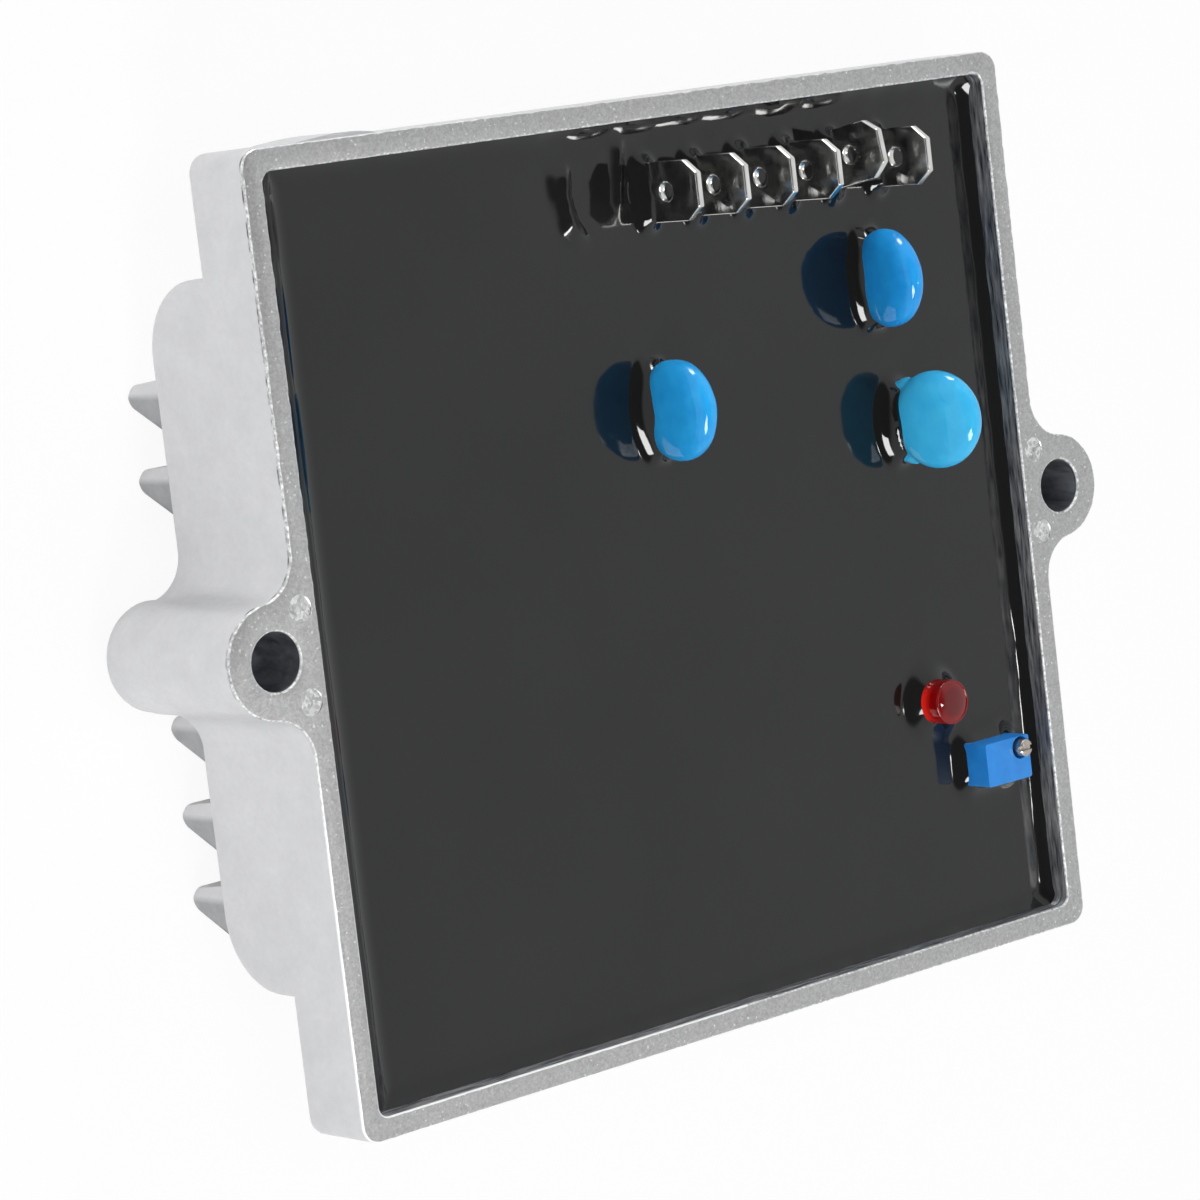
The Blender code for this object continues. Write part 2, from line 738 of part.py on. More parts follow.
def slotted_screw(name, place, heights, radii, slot, material):
    """A round-headed screw with its origin on its axis, at the top of its head."""
    tip, head, top = (height - heights[2] for height in heights)
    shank_radius, head_radius = radii
    width, depth = slot
    edge = depth / 4
    profile = [(0, tip), (shank_radius, tip), (shank_radius, head), (head_radius, head)]
    profile += [(head_radius, top - edge), (head_radius - edge, top), (0, top)]
    location = (*place, heights[2])
    screw = solid(name, turned(profile, 20), material, location)
    reach = head_radius * 2
    cut = box((-reach, -width / 2, -depth), (reach, width / 2, overrun))
    combine(screw, "DIFFERENCE", [tool(cut, location)])


def make_trimmer_screw(material):
    """The adjusting screw of the trimmer."""
    top = front + trimmer_reach
    heights = (top - screw_depth, top - screw_recess + seat_gap, front + screw_reach)
    radii = (screw_shank_radius, screw_head_radius)
    slot = (screw_slot_width, screw_slot_depth)
    slotted_screw("trimmer_screw", screw_place(), heights, radii, slot, material)


def trimmer_pocket():
    """The room that the trimmer takes in the resin."""
    half_x = trimmer_width / 2 + seat_gap
    half_y = trimmer_height / 2 + seat_gap
    x, y = trimmer_place
    return tool(box((x - half_x, y - half_y, board_back), (x + half_x, y + half_y, front)))


def package_rectangle(place, margin):
    """The lower and upper corner, in plan, of a power part with a margin round it."""
    top = place[1] + package_hole_inset
    low = (place[0] - package_width / 2 - margin, top - package_tab_length - package_body_length - margin)
    return low, (place[0] + package_width / 2 + margin, top + margin)


def make_package(name, place, columns, material):
    """A power part: a metal tab with a screw hole, a moulded body on it and leads bent up to the board."""
    low, high = package_rectangle(place, 0)
    seam = high[1] - package_tab_length
    body = box((*low, package_bottom), (high[0], seam, package_top))
    upper = [edge for edge in body.edges if min(vert.co.z for vert in edge.verts) > package_bottom]
    bmesh.ops.bevel(body, geom=upper, offset=part_edge, segments=1, affect="EDGES")
    package = solid(name, body, material)
    inset = package_tab_inset
    tab_low = (low[0] + inset, low[1] + package_body_length / 2, package_bottom + inset)
    tab = box(tab_low, (high[0] - inset, high[1], package_bottom + package_tab_thickness))
    level = package_bottom + package_lead_level
    leads = [tool(bent_lead(lead, level, package_lead_run)) for lead in package_leads(place, columns)]
    combine(package, "UNION", [tool(tab)] + leads)
    hole = moved(rod(package_hole_radius, 0, front, 16), (*place, 0))
    combine(package, "DIFFERENCE", [tool(hole)])


def make_pad(name, place, material):
    """The insulating pad between a power part and its pedestal."""
    low, high = package_rectangle(place, pad_margin)
    level = pedestal_top + seat_gap
    pad = solid(name, box((*low, level), (*high, level + pad_thickness)), material)
    hole = moved(rod(package_hole_radius, 0, front, 16), (*place, 0))
    combine(pad, "DIFFERENCE", [tool(hole)])


def make_fixing(name, place, material):
    """The screw that holds a power part down on its pedestal."""
    head = package_bottom + package_tab_thickness + seat_gap
    heights = (fixing_bottom + seat_gap, head, head + fixing_head_height)
    slot = (fixing_head_height / 2, fixing_head_height / 2)
    slotted_screw(name, place, heights, (fixing_radius, fixing_head_radius), slot, material)


def package_pocket(place, columns):
    """The room in the resin for a pedestal, the power part on it, its screw and its leads."""
    low, high = package_rectangle(place, pedestal_margin + seat_gap)
    leads = package_leads(place, columns)
    reach = lead_width + seat_gap
    lead_low = (leads[0][0] - reach, leads[0][1] - reach, package_bottom)
    lead_high = (leads[-1][0] + reach, low[1] + overrun, board_middle)
    return [tool(box((*low, body_back), (*high, package_top + seat_gap))), tool(box(lead_low, lead_high))]


def make_hanging(name, size, place, leads, material):
    """A moulded block that hangs under the board on straight leads."""
    part = solid(name, moved(block(size, part_edge), (*place, hang - size[2])), material)
    combine(part, "UNION", [tool(straight_lead(lead, hang - part_edge * 2)) for lead in leads])


def hanging_pocket(size, place):
    """The room in the resin for a hanging part."""
    half_x = size[0] / 2 + seat_gap
    half_y = size[1] / 2 + seat_gap
    low = (place[0] - half_x, place[1] - half_y, hang - size[2] - seat_gap)
    return tool(box(low, (place[0] + half_x, place[1] + half_y, board_middle)))


def make_electrolytic(number, place, material):
    """An electrolytic capacitor lying down, with the crimp round its can near the leads."""
    radius = electrolytic_radius
    half = electrolytic_length / 2
    crimp = electrolytic_crimp
    profile = [(0, -half), (radius - crimp, -half), (radius, crimp - half), (radius, half - 4 * crimp)]
    profile += [(radius - crimp, half - 3 * crimp), (radius, half - 2 * crimp), (radius, half - crimp)]
    profile += [(radius - crimp, half), (0, half)]
    can = moved(turned(profile, 20), (*place, hang - radius), -math.pi / 2, "X")
    part = solid("electrolytic_capacitor_" + str(number), can, material)
    leads = []
    for lead in electrolytic_leads(place):
        leads.append(bent_lead(lead, hang - radius, electrolytic_lead_run, math.pi))
    combine(part, "UNION", [tool(lead) for lead in leads])


def make_resistor(number, place, material):
    """A power resistor lying along X, with a thicker cap at each end."""
    half = resistor_length / 2
    radius = resistor_radius
    waist = radius - part_edge
    profile = [(0, -half), (waist, -half), (radius, part_edge - half)]
    profile += [(radius, -0.75 * half), (waist, -0.7 * half)]
    profile += [(r, -z) for r, z in reversed(profile)]
    core = moved(turned(profile, 18), (*place, hang - radius), math.pi / 2, "Y")
    part = solid("power_resistor_" + str(number), core, material)
    left, right = resistor_leads(place)
    leads = [bent_lead(left, hang - radius, resistor_lead_run, -math.pi / 2)]
    leads += [bent_lead(right, hang - radius, resistor_lead_run, math.pi / 2)]
    combine(part, "UNION", [tool(lead) for lead in leads])


def make_chip(material):
    """The control circuit in its moulded case, with four pins on each side."""
    case = moved(block(chip_size, part_edge), (*chip_place, hang - chip_size[2]))
    chip = solid("control_ic", case, material)
    level = hang - chip_size[2] / 2
    pins = [bent_lead(pin, level, chip_pin_run) for pin in chip_pins(-1)]
    pins += [bent_lead(pin, level, chip_pin_run, math.pi) for pin in chip_pins(1)]
    combine(chip, "UNION", [tool(pin) for pin in pins])


def resin_layer():
    """The layer over the board. It climbs the tray's walls in a hollow curve."""
    rings = []
    levels = ((0, board_front + seat_gap), (0, resin_top + resin_climb))
    levels += ((resin_foot * 0.3, resin_top + resin_climb * 0.4), (resin_foot, resin_top))
    half_x = inner_half_x - seat_gap
    half_y = inner_half_y - seat_gap
    for inset, level in levels:
        outline = rounded_rectangle(half_x - inset, half_y - inset, inner_corner - seat_gap)
        rings.append([(x, y, level) for x, y in outline])
    return loft(rings)


def resin_block():
    """The block under the board, which follows the deep cavity."""
    half = deep_half_x - seat_gap
    return prism(deep_outline(wall + seat_gap, deep_floor + seat_gap, shelf), -half, half, along="X")


def make_resin(material):
    """The potting resin: the layer and the block joined through the pour holes, with room for every part."""
    resin = solid("potting_resin", resin_layer(), material)
    plugs = []
    for place in pour_places:
        plug = rod(pour_radius - seat_gap, shelf - body_floor, board_front + board_cover / 2, 20)
        plugs.append(tool(moved(plug, (*place, 0))))
    combine(resin, "UNION", [tool(resin_block())] + plugs)
    rooms = [lamp_pocket(), trimmer_pocket()]
    rooms += [terminal_slot(number) for number in range(1, terminal_count + 1)]
    for place in varistor_places:
        rooms += varistor_pocket(place)
    rooms += package_pocket(thyristor_place, (-1, 0, 1)) + package_pocket(diode_place, (-1, 1))
    rooms += [hanging_pocket(bridge_size, bridge_place), hanging_pocket(film_size, film_place)]
    for place in electrolytic_places:
        length = electrolytic_length + 2 * electrolytic_lead_run + 2 * lead_width
        rooms.append(hanging_pocket((2 * electrolytic_radius, length, 2 * electrolytic_radius), place))
    for place in resistor_places:
        length = resistor_length + 2 * resistor_lead_run + 2 * lead_width
        rooms.append(hanging_pocket((length, 2 * resistor_radius, 2 * resistor_radius), place))
    chip_room = (chip_size[0], chip_size[1] + 2 * chip_pin_run + 2 * lead_width, chip_size[2])
    rooms.append(hanging_pocket(chip_room, chip_place))
    combine(resin, "DIFFERENCE", rooms)


for old in list(bpy.data.objects):
    bpy.data.objects.remove(old)

make_housing(finish("cast_aluminium", (0.42, 0.42, 0.41), 0.45, 1.0))
make_resin(finish("black_resin", (0.012, 0.012, 0.012), 0.12))
make_board(finish("board_laminate", (0.05, 0.16, 0.08), 0.5))

tinned = finish("tinned_brass", (0.62, 0.6, 0.56), 0.25, 1.0)
for terminal_number in range(1, terminal_count + 1):
    make_terminal(terminal_number, tinned)

varistor_blue = finish("varistor_blue", (0.02, 0.2, 0.52), 0.2)
for varistor_number, varistor_place in enumerate(varistor_places, start=1):
    make_varistor(varistor_number, varistor_place, varistor_blue)

make_lamp(finish("lamp_red", (0.4, 0.005, 0.01), 0.15))
make_trimmer(finish("trimmer_blue", (0.05, 0.2, 0.62), 0.35))
make_trimmer_screw(finish("screw_brass", (0.6, 0.52, 0.38), 0.35, 1.0))

moulding_black = finish("moulding_black", (0.02, 0.02, 0.02), 0.6)
pad_grey = finish("pad_grey", (0.45, 0.47, 0.5), 0.8)
zinc = finish("zinc", (0.6, 0.6, 0.62), 0.35, 1.0)
make_package("thyristor", thyristor_place, (-1, 0, 1), moulding_black)
make_pad("thyristor_pad", thyristor_place, pad_grey)
make_fixing("thyristor_screw", thyristor_place, zinc)
make_package("freewheel_diode", diode_place, (-1, 1), moulding_black)
make_pad("diode_pad", diode_place, pad_grey)
make_fixing("diode_screw", diode_place, zinc)
make_hanging("rectifier_bridge", bridge_size, bridge_place, bridge_leads(), moulding_black)
film_red = finish("film_red", (0.5, 0.06, 0.03), 0.4)
make_hanging("film_capacitor", film_size, film_place, film_leads(), film_red)

sleeve = finish("capacitor_sleeve", (0.03, 0.05, 0.12), 0.4)
for capacitor_number, capacitor_place in enumerate(electrolytic_places, start=1):
    make_electrolytic(capacitor_number, capacitor_place, sleeve)

cement = finish("resistor_cement", (0.45, 0.5, 0.42), 0.7)
for resistor_number, resistor_place in enumerate(resistor_places, start=1):
    make_resistor(resistor_number, resistor_place, cement)
make_chip(moulding_black)
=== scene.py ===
import math

import bmesh
import bpy
import numpy as np
from mathutils import Matrix, Vector, noise


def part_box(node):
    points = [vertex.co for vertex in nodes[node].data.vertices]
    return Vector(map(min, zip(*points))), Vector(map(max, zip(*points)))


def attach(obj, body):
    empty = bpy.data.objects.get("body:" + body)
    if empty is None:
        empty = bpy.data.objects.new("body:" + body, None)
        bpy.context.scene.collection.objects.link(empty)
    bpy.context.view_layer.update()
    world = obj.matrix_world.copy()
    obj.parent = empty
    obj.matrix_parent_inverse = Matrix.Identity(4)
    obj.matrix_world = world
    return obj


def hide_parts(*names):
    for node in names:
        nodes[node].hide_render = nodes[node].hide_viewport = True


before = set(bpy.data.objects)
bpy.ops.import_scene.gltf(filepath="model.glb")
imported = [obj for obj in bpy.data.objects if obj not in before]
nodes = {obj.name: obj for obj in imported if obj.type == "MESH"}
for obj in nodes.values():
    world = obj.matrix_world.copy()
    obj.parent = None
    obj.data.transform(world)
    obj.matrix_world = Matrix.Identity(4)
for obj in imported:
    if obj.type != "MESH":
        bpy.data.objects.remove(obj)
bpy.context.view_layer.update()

# Camera
# It stands to the left of the module and looks down on the potted face at about fifty degrees, through a
# long lens, so that the far side of the tray is hardly smaller than the near one.
camera = bpy.data.objects.new("camera", bpy.data.cameras.new("camera"))
camera.data.lens = 136.497
camera.data.sensor_width = 36
camera.data.clip_start = 0.02
camera.location = (-0.31247, 0.05730, 0.37724)
camera.rotation_euler = [math.radians(angle) for angle in (-1.44975, -40.88686, -8.84609)]
bpy.context.scene.collection.objects.link(camera)
bpy.context.scene.camera = camera
bpy.context.scene.view_settings.view_transform = "Standard"


# Floor and light
# A white table under a pale tent that is open towards the camera, so glossy slopes turned that way stay
# black. Soft lamps light the colours, and others, seen in gloss only, give the white marks on the parts
# and on the resin.
def add(tree, kind, values=(), **settings):
    """A node with its settings. Its inputs, by name or number, get a value or a link from another node."""
    made = tree.nodes.new(kind)
    for name, value in settings.items():
        setattr(made, name, value)
    for socket, value in dict(values).items():
        if isinstance(value, bpy.types.NodeSocket):
            tree.links.new(value, made.inputs[socket])
        else:
            made.inputs[socket].default_value = value
    return made


def worked(tree, operation, first, second):
    """The result of a sum, a product or the like of two numbers or sockets."""
    return add(tree, "ShaderNodeMath", {0: first, 1: second}, operation=operation).outputs[0]


floor_half = 1.5
floor_shade = 0.07
floor_in_metal = 0.30
floor_mesh = bmesh.new()
bmesh.ops.create_grid(floor_mesh, x_segments=8, y_segments=8, size=floor_half)
floor_data = bpy.data.meshes.new("floor")
floor_mesh.to_mesh(floor_data)
floor_mesh.free()
floor = bpy.data.objects.new("floor", floor_data)
bpy.context.scene.collection.objects.link(floor)
table_white = bpy.data.materials.new("table_white")
table_white.use_nodes = True
tree = table_white.node_tree
tree.nodes.clear()
path = add(tree, "ShaderNodeLightPath").outputs
shiny = worked(tree, "MULTIPLY", path["Is Glossy Ray"], floor_in_metal)
straight = worked(tree, "MAXIMUM", path["Is Camera Ray"], path["Is Transmission Ray"])
seen = worked(tree, "MAXIMUM", straight, shiny)
matt = add(tree, "ShaderNodeBsdfDiffuse", {"Color": (0.8, 0.8, 0.8, 1)})
glow = add(tree, "ShaderNodeEmission", {"Color": (1, 1, 1, 1), "Strength": 1.0})
share = worked(tree, "MULTIPLY", seen, 1 - floor_shade)
table = add(tree, "ShaderNodeMixShader", {0: share, 1: matt.outputs[0], 2: glow.outputs[0]})
add(tree, "ShaderNodeOutputMaterial", {"Surface": table.outputs[0]})
floor_data.materials.append(table_white)

tent_dim = 0.62
tent_bright = 0.82
tent_opening = Vector((-0.35, -0.02, 0.94)).normalized()
opening_edge = (math.cos(math.radians(51)), math.cos(math.radians(40)))
opening_light = 0.14
world = bpy.data.worlds.new("tent")
bpy.context.scene.world = world
world.use_nodes = True
tree = world.node_tree
tree.nodes.clear()
outward = add(tree, "ShaderNodeTexCoord").outputs["Generated"]
sideways = add(tree, "ShaderNodeSeparateXYZ", {0: outward}).outputs["X"]
tent_side = add(tree, "ShaderNodeMapRange", {"Value": sideways, 1: -1, 2: 1, 3: tent_dim, 4: tent_bright})
facing = add(tree, "ShaderNodeVectorMath", {0: outward, 1: tent_opening}, operation="DOT_PRODUCT")
cloth = add(
    tree,
    "ShaderNodeMapRange",
    {"Value": facing.outputs["Value"], 1: opening_edge[0], 2: opening_edge[1], 3: 1.0, 4: opening_light},
    interpolation_type="SMOOTHSTEP",
)
strength = worked(tree, "MULTIPLY", tent_side.outputs[0], cloth.outputs[0])
tent = add(tree, "ShaderNodeBackground", {"Color": (0.97, 0.985, 1, 1), "Strength": strength})
backdrop = add(tree, "ShaderNodeBackground", {"Color": (1, 1, 1, 1), "Strength": 1.0})
by_camera = add(tree, "ShaderNodeLightPath").outputs["Is Camera Ray"]
sky = add(tree, "ShaderNodeMixShader", {0: by_camera, 1: tent.outputs[0], 2: backdrop.outputs[0]})
add(tree, "ShaderNodeOutputWorld", {"Surface": sky.outputs[0]})


lamp_distance = 0.9
shine_distance = 0.86
far_side = (0.02, 0.96, 0.12)
near_side = (-0.40, -0.52, 0.75)


def soft_lamp(name, towards, width, height, radiance, shine):
    """A soft lamp that faces the module. It is seen in gloss, or else it lights the colours."""
    lamp = bpy.data.lights.new(name, "AREA")
    lamp.shape = "RECTANGLE"
    lamp.size = width
    lamp.size_y = height
    lamp.energy = radiance * math.pi * width * height
    holder = bpy.data.objects.new(name, lamp)
    holder.location = Vector(towards).normalized() * (shine_distance if shine else lamp_distance)
    holder.rotation_euler = Vector(towards).to_track_quat("Z", "Y").to_euler()
    holder.visible_glossy = shine
    holder.visible_diffuse = not shine
    bpy.context.scene.collection.objects.link(holder)


soft_lamp("far_lamp", far_side, 0.24, 0.17, 20, False)
soft_lamp("far_shine", far_side, 0.42, 0.18, 20, True)
soft_lamp("near_lamp", near_side, 0.22, 0.17, 24, False)
soft_lamp("near_shine", near_side, 0.46, 0.32, 17, True)
soft_lamp("top_shine", (0.40, -0.19, 0.94), 0.035, 0.05, 28, True)
soft_lamp("fill_lamp", (-0.40, 0.10, 0.90), 0.5, 0.5, 4.0, False)


# Casting
# The tray is one pressure die casting in aluminium: a shallow tray with a deeper middle, a screw lug and
# a long boss at each side, and cooling fins across its back. It is used as cast. Its front edge carries the
# ragged flash of the die's parting line, and round ejector pins have left a rough disc by each screw hole.
metre = 0.001
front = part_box("housing")[1].z / metre
tray_half = (52.0, 49.0)
tray_corner = 2.0
rim_back = front - 9.2
wall = 2.3
body_back = 6.8
body_ends = (-34.8, 36.9)
body_corner = 7.7
body_edge = 0.9
floor_thickness = 2.5
shelf = 18.7
lug_x = 55.25
lug_radius = 5.75
lug_fillet = 4.5
hole_radius = 2.95
seat = 5.0
fin_places = (-26.1, -17.6, -8.45, 16.8, 25.35)
fin_tip = 1.3
fin_drafts = (6, 28)
fin_half = 51.2
fin_end = 1.6
fin_ridge = (0.8, 0.9)
gate = (-44.7, -34.5)
front_edge = 0.30
inner_edge = 0.36
pin_places = ((51.7, 4.6), (51.7, -4.6), (-51.7, 4.6), (-51.7, -4.6))
pin_radius = 1.35
pin_depth = 0.12
inner_corner = 1.2
hole_edge = 0.25
boss_inset = 0.15
boss_foot = 2.3
gate_height = 0.45
gate_span = (8.2, 1.0)
fillet = 0.7
flash_calm = -18.0
flash_wild = 30.0
outline_step = 0.6
sharp = 0.6


def arc(centre, radius, start, end, steps):
    """Points along an arc, both ends included, with the angles in degrees."""
    angles = [math.radians(start + (end - start) * i / steps) for i in range(steps + 1)]
    return [(centre[0] + radius * math.cos(a), centre[1] + radius * math.sin(a)) for a in angles]


def rolled(radius, steps):
    """A rounded edge as pairs of inset and height, from its lowest line up to the flank."""
    angles = [math.radians(90 * i / steps) for i in range(steps + 1)]
    return [(radius * (1 - math.sin(a)), radius * (1 - math.cos(a))) for a in angles]


def spaced(points, gap):
    """The same closed outline with more points along its long straight runs."""
    dense = []
    for here, there in zip(points, points[1:] + points[:1]):
        steps = max(1, round(math.dist(here, there) / gap))
        for i in range(steps):
            dense.append(tuple(a + (b - a) * i / steps for a, b in zip(here, there)))
    return dense


def loft(rings):
    """A closed body through rings of points, each with as many points as the next."""
    mesh = bmesh.new()
    placed = [[mesh.verts.new(point) for point in ring] for ring in rings]
    mesh.faces.new(placed[0])
    mesh.faces.new(placed[-1])
    for ring, following in zip(placed, placed[1:]):
        for i in range(len(ring)):
            j = (i + 1) % len(ring)
            mesh.faces.new((ring[i], ring[j], following[j], following[i]))
    return mesh


def raised(outline, level):
    """An outline of points (x, y) at a level."""
    return [(x, y, level) for x, y in outline]


def turned(profile, steps=48):
    """A profile of (radius, height) points spun round Z."""
    mesh = bmesh.new()
    points = [mesh.verts.new((radius, 0, height)) for radius, height in profile]
    edges = [mesh.edges.new(pair) for pair in zip(points, points[1:])]
    bmesh.ops.spin(
        mesh, geom=points + edges, cent=(0, 0, 0), axis=(0, 0, 1), angle=2 * math.pi, steps=steps, use_merge=True
    )
    bmesh.ops.remove_doubles(mesh, verts=mesh.verts, dist=1e-4)
    return mesh


def moved(mesh, offset=(0, 0, 0), turn=0.0, axis="Z"):
    """The same mesh turned about an axis through the origin and then shifted."""
    way = Matrix.Translation(offset) @ Matrix.Rotation(turn, 4, axis)
    bmesh.ops.transform(mesh, matrix=way, verts=mesh.verts)
    return mesh


def shape(name, mesh):
    """An object from a mesh in millimetres, with its faces pointing out."""
    bmesh.ops.recalc_face_normals(mesh, faces=mesh.faces)
    data = bpy.data.meshes.new(name)
    mesh.to_mesh(data)
    mesh.free()
    made = bpy.data.objects.new(name, data)
    bpy.context.scene.collection.objects.link(made)
    return made


def settle(target):
    """Applies the modifiers of a shape."""
    bpy.context.view_layer.update()
    finished = bpy.data.meshes.new_from_object(target.evaluated_get(bpy.context.evaluated_depsgraph_get()))
    target.modifiers.clear()
    target.data = finished


def combine(target, operation, meshes):
    """Joins meshes to a shape, or cuts them out of it."""
    tools = [shape("tool", mesh) for mesh in meshes]
    group = bpy.data.collections.new("tools")
    for tool in tools:
        group.objects.link(tool)
    step = target.modifiers.new(operation, "BOOLEAN")
    step.operation = operation
    step.operand_type = "COLLECTION"
    step.collection = group
    step.solver = "EXACT"
    settle(target)
    for tool in tools:
        bpy.data.objects.remove(tool)
    bpy.data.collections.remove(group)


def round_edges(target, width, steps, wanted):
    """Rounds the edges of a shape that are wanted."""
    mesh = bmesh.new()
    mesh.from_mesh(target.data)
    bmesh.ops.dissolve_degenerate(mesh, dist=1e-4, edges=mesh.edges)
    chosen = [edge for edge in mesh.edges if len(edge.link_faces) == 2 and wanted(edge)]
    bmesh.ops.bevel(
        mesh, geom=chosen, offset=width, segments=steps, profile=0.5, affect="EDGES", clamp_overlap=True
    )
    mesh.to_mesh(target.data)
    mesh.free()


def is_piece(made, material, body, replaced, smooth=35):
    """Brings a shape to metres, gives it its material and hangs it on its body."""
    made.data.transform(Matrix.Scale(metre, 4))
    made.data.materials.clear()
    made.data.materials.append(material)
    made.data.shade_smooth()
    made.data.set_sharp_from_angle(angle=math.radians(smooth))
    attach(made, body)
    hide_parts(*replaced)
    return made


def rounded_corners(half_x, half_y, radius, steps):
    """The four round corners of a rectangle about the origin, in order, starting at the upper right."""
    corners = []
    for sign_x, sign_y, start in ((1, 1, 0), (-1, 1, 90), (-1, -1, 180), (1, -1, 270)):
        centre = (sign_x * (half_x - radius), sign_y * (half_y - radius))
        corners.append(arc(centre, radius, start, start + 90, steps))
    return corners


def lug_outline(inset=0.0):
    """The right lug from the front: a round end that runs into the tray's side with two hollow fillets."""
    fillet_x = tray_half[0] + lug_fillet
    fillet_y = math.sqrt((lug_radius + lug_fillet) ** 2 - (fillet_x - lug_x) ** 2)
    turn = math.degrees(math.atan2(fillet_y, fillet_x - lug_x))
    lower = arc((fillet_x, -fillet_y), lug_fillet + inset, 180, 180 - turn, 12)
    end = arc((lug_x, 0), lug_radius - inset, -turn, turn, 40)
    upper = arc((fillet_x, fillet_y), lug_fillet + inset, 180 + turn, 180, 12)
    return lower + end[1:-1] + upper


def casting_outline(inset):
    """The casting from the front: a rounded rectangle with a lug on each side. It can be inset."""
    corners = rounded_corners(tray_half[0] - inset, tray_half[1] - inset, tray_corner - inset, 8)
    right_lug = lug_outline(inset)
    left_lug = [(-x, -y) for x, y in right_lug]
    return spaced(corners[0] + corners[1] + left_lug + corners[2] + corners[3] + right_lug, outline_step)


def raggedness(x, y, seed):
    """How far the flash stands out at a place on the edge, from 0 to 1, wilder towards the upper end."""
    wave = noise.noise(Vector((x * 0.9, y * 0.9, seed))) + 0.8 * noise.noise(Vector((x * 3.1, y * 3.1, seed)))
    wild = min(1.0, max(0.25, (y - flash_calm) / flash_wild))
    return min(1.0, max(0.0, 0.5 + 0.75 * wave * wild))


def edge_ring(outline_at, radius, inset, height, seed):
    """One line of a rounded front edge, whose radius changes along it with the flash."""
    ring = []
    for (x, y), (far_x, far_y) in zip(outline_at(0.0), outline_at(inset)):
        share = 1 - 0.7 * raggedness(x, y, seed)
        ring.append((x + (far_x - x) * share, y + (far_y - y) * share, front - height * share))
    return ring


def tray_plate():
    """The tray's whole outer form from the back of its rim to the front face."""
    rings = [raised(casting_outline(inset), rim_back + height) for inset, height in rolled(body_edge, 4)]
    front_rings = []
    for inset, height in rolled(front_edge, 3):
        front_rings.append(edge_ring(casting_outline, front_edge, inset, height, 2.0))
    return loft(rings + front_rings[::-1])


def deep_outline(inset, back, level, steps=14):
    """The deep middle from the side, between its flat back and a level, with round corners."""
    radius = body_corner - inset
    bottom, top = body_ends[0] + inset, body_ends[1] - inset
    outline = [(top, level)] + arc((top - radius, back + radius), radius, 0, -90, steps)
    return outline + arc((bottom + radius, back + radius), radius, -90, -180, steps) + [(bottom, level)]


def deep_middle():
    """The deep middle's outer form, with its long edges rounded at both sides of the tray."""
    half = []
    for inset, height in rolled(body_edge, 5):
        half.append((tray_half[0] - height, deep_outline(inset, body_back + inset, rim_back + 2)))
    stretch = [(-x, outline) for x, outline in half] + half[::-1]
    return loft([[(x, y, z) for y, z in outline] for x, outline in stretch])


def lug_column(side):
    """The lug carried down the side of the deep middle, with a rounded lower edge."""
    rings = []
    for inset, height in rolled(body_edge, 4) + [(0.0, rim_back + 1 - body_back)]:
        outline = lug_outline(inset)
        outline += [(tray_half[0] - 4, outline[-1][1]), (tray_half[0] - 4, outline[0][1])]
        rings.append(raised([(side * x, y) for x, y in outline], body_back + height))
    return loft(rings)


def boss(side):
    """The round seat that stands back from the body behind a screw hole."""
    radius = lug_radius - boss_inset
    profile = ((0, seat), (radius - 0.6, seat), (radius - 0.18, seat + 0.18), (radius, seat + 0.6))
    profile += ((radius, rim_back - boss_foot), (0, rim_back - boss_foot))
    return moved(turned(profile, 56), (side * lug_x, 0, 0))


def fin(place):
    """A cooling fin: steep on top, sloped underneath, with a round tip and a ridge down each end."""
    root = body_back + floor_thickness / 2
    steep, sloped = (math.radians(angle) for angle in fin_drafts)
    ends = []
    for i in range(7):
        angle = math.radians(13 * i)
        ends.append((fin_half - fin_end * (1 - math.sin(angle)), fin_end * (1 - math.cos(angle)), i / 6, 1.0))
    ends.append((fin_half, ends[-1][1], 0.0, 0.08))
    middle = [(x, 0.0, 0.0, 1.0) for x in range(-45, 50, 5)]
    rings = []
    for x, lift, recess, width in [(-end[0], *end[1:]) for end in reversed(ends)] + middle + ends:
        y = place + 0.05 * math.sin(0.13 * x + place)
        crest = y + 0.1
        tip = arc((y, fin_tip + lift), fin_tip, -fin_drafts[0], fin_drafts[1] - 180, 12)
        top = (tip[0][0] + (root - tip[0][1]) * math.tan(steep), root)
        under = (tip[-1][0] - (root - tip[-1][1]) * math.tan(sloped), root)
        ring = []
        for a, b in [top] + tip + [under]:
            side = (a - crest) / (top[0] - crest) if a > crest else (crest - a) / (crest - under[0])
            back = recess * side * (fin_ridge[0] if a > crest else fin_ridge[1])
            ring.append((math.copysign(abs(x) - back, x), crest + (a - crest) * width, b))
        rings.append(ring)
    return loft(rings)


def gate_stub():
    """The broken stub on the rim's upper side where the metal came in."""
    left, right = gate
    side = tray_half[1]
    crest = []
    for i in range(17):
        height = gate_height * math.sin(math.pi * (i / 16) ** 1.3) ** 0.7
        crest.append((left + (right - left) * i / 16, side + height))
    outline = crest + [(right, side - 1), (left, side - 1)]
    return loft([raised(outline, front - depth) for depth in gate_span])


def inner_outline(inset):
    """The rim's inner outline, which can be inset."""
    half_x, half_y = (half - wall - inset for half in tray_half)
    corners = rounded_corners(half_x, half_y, inner_corner - inset, 6)
    return spaced(sum(corners, []), outline_step)


def recess_tool():
    """The opening of the tray, flared at the front by the ragged edge."""
    inner = [raised(inner_outline(0.0), shelf)]
    flare = [edge_ring(inner_outline, inner_edge, -inset, height, 6.0) for inset, height in rolled(inner_edge, 3)]
    past = [(x, y, front + 4) for x, y, z in flare[0]]
    return loft(inner + flare[::-1] + [past])


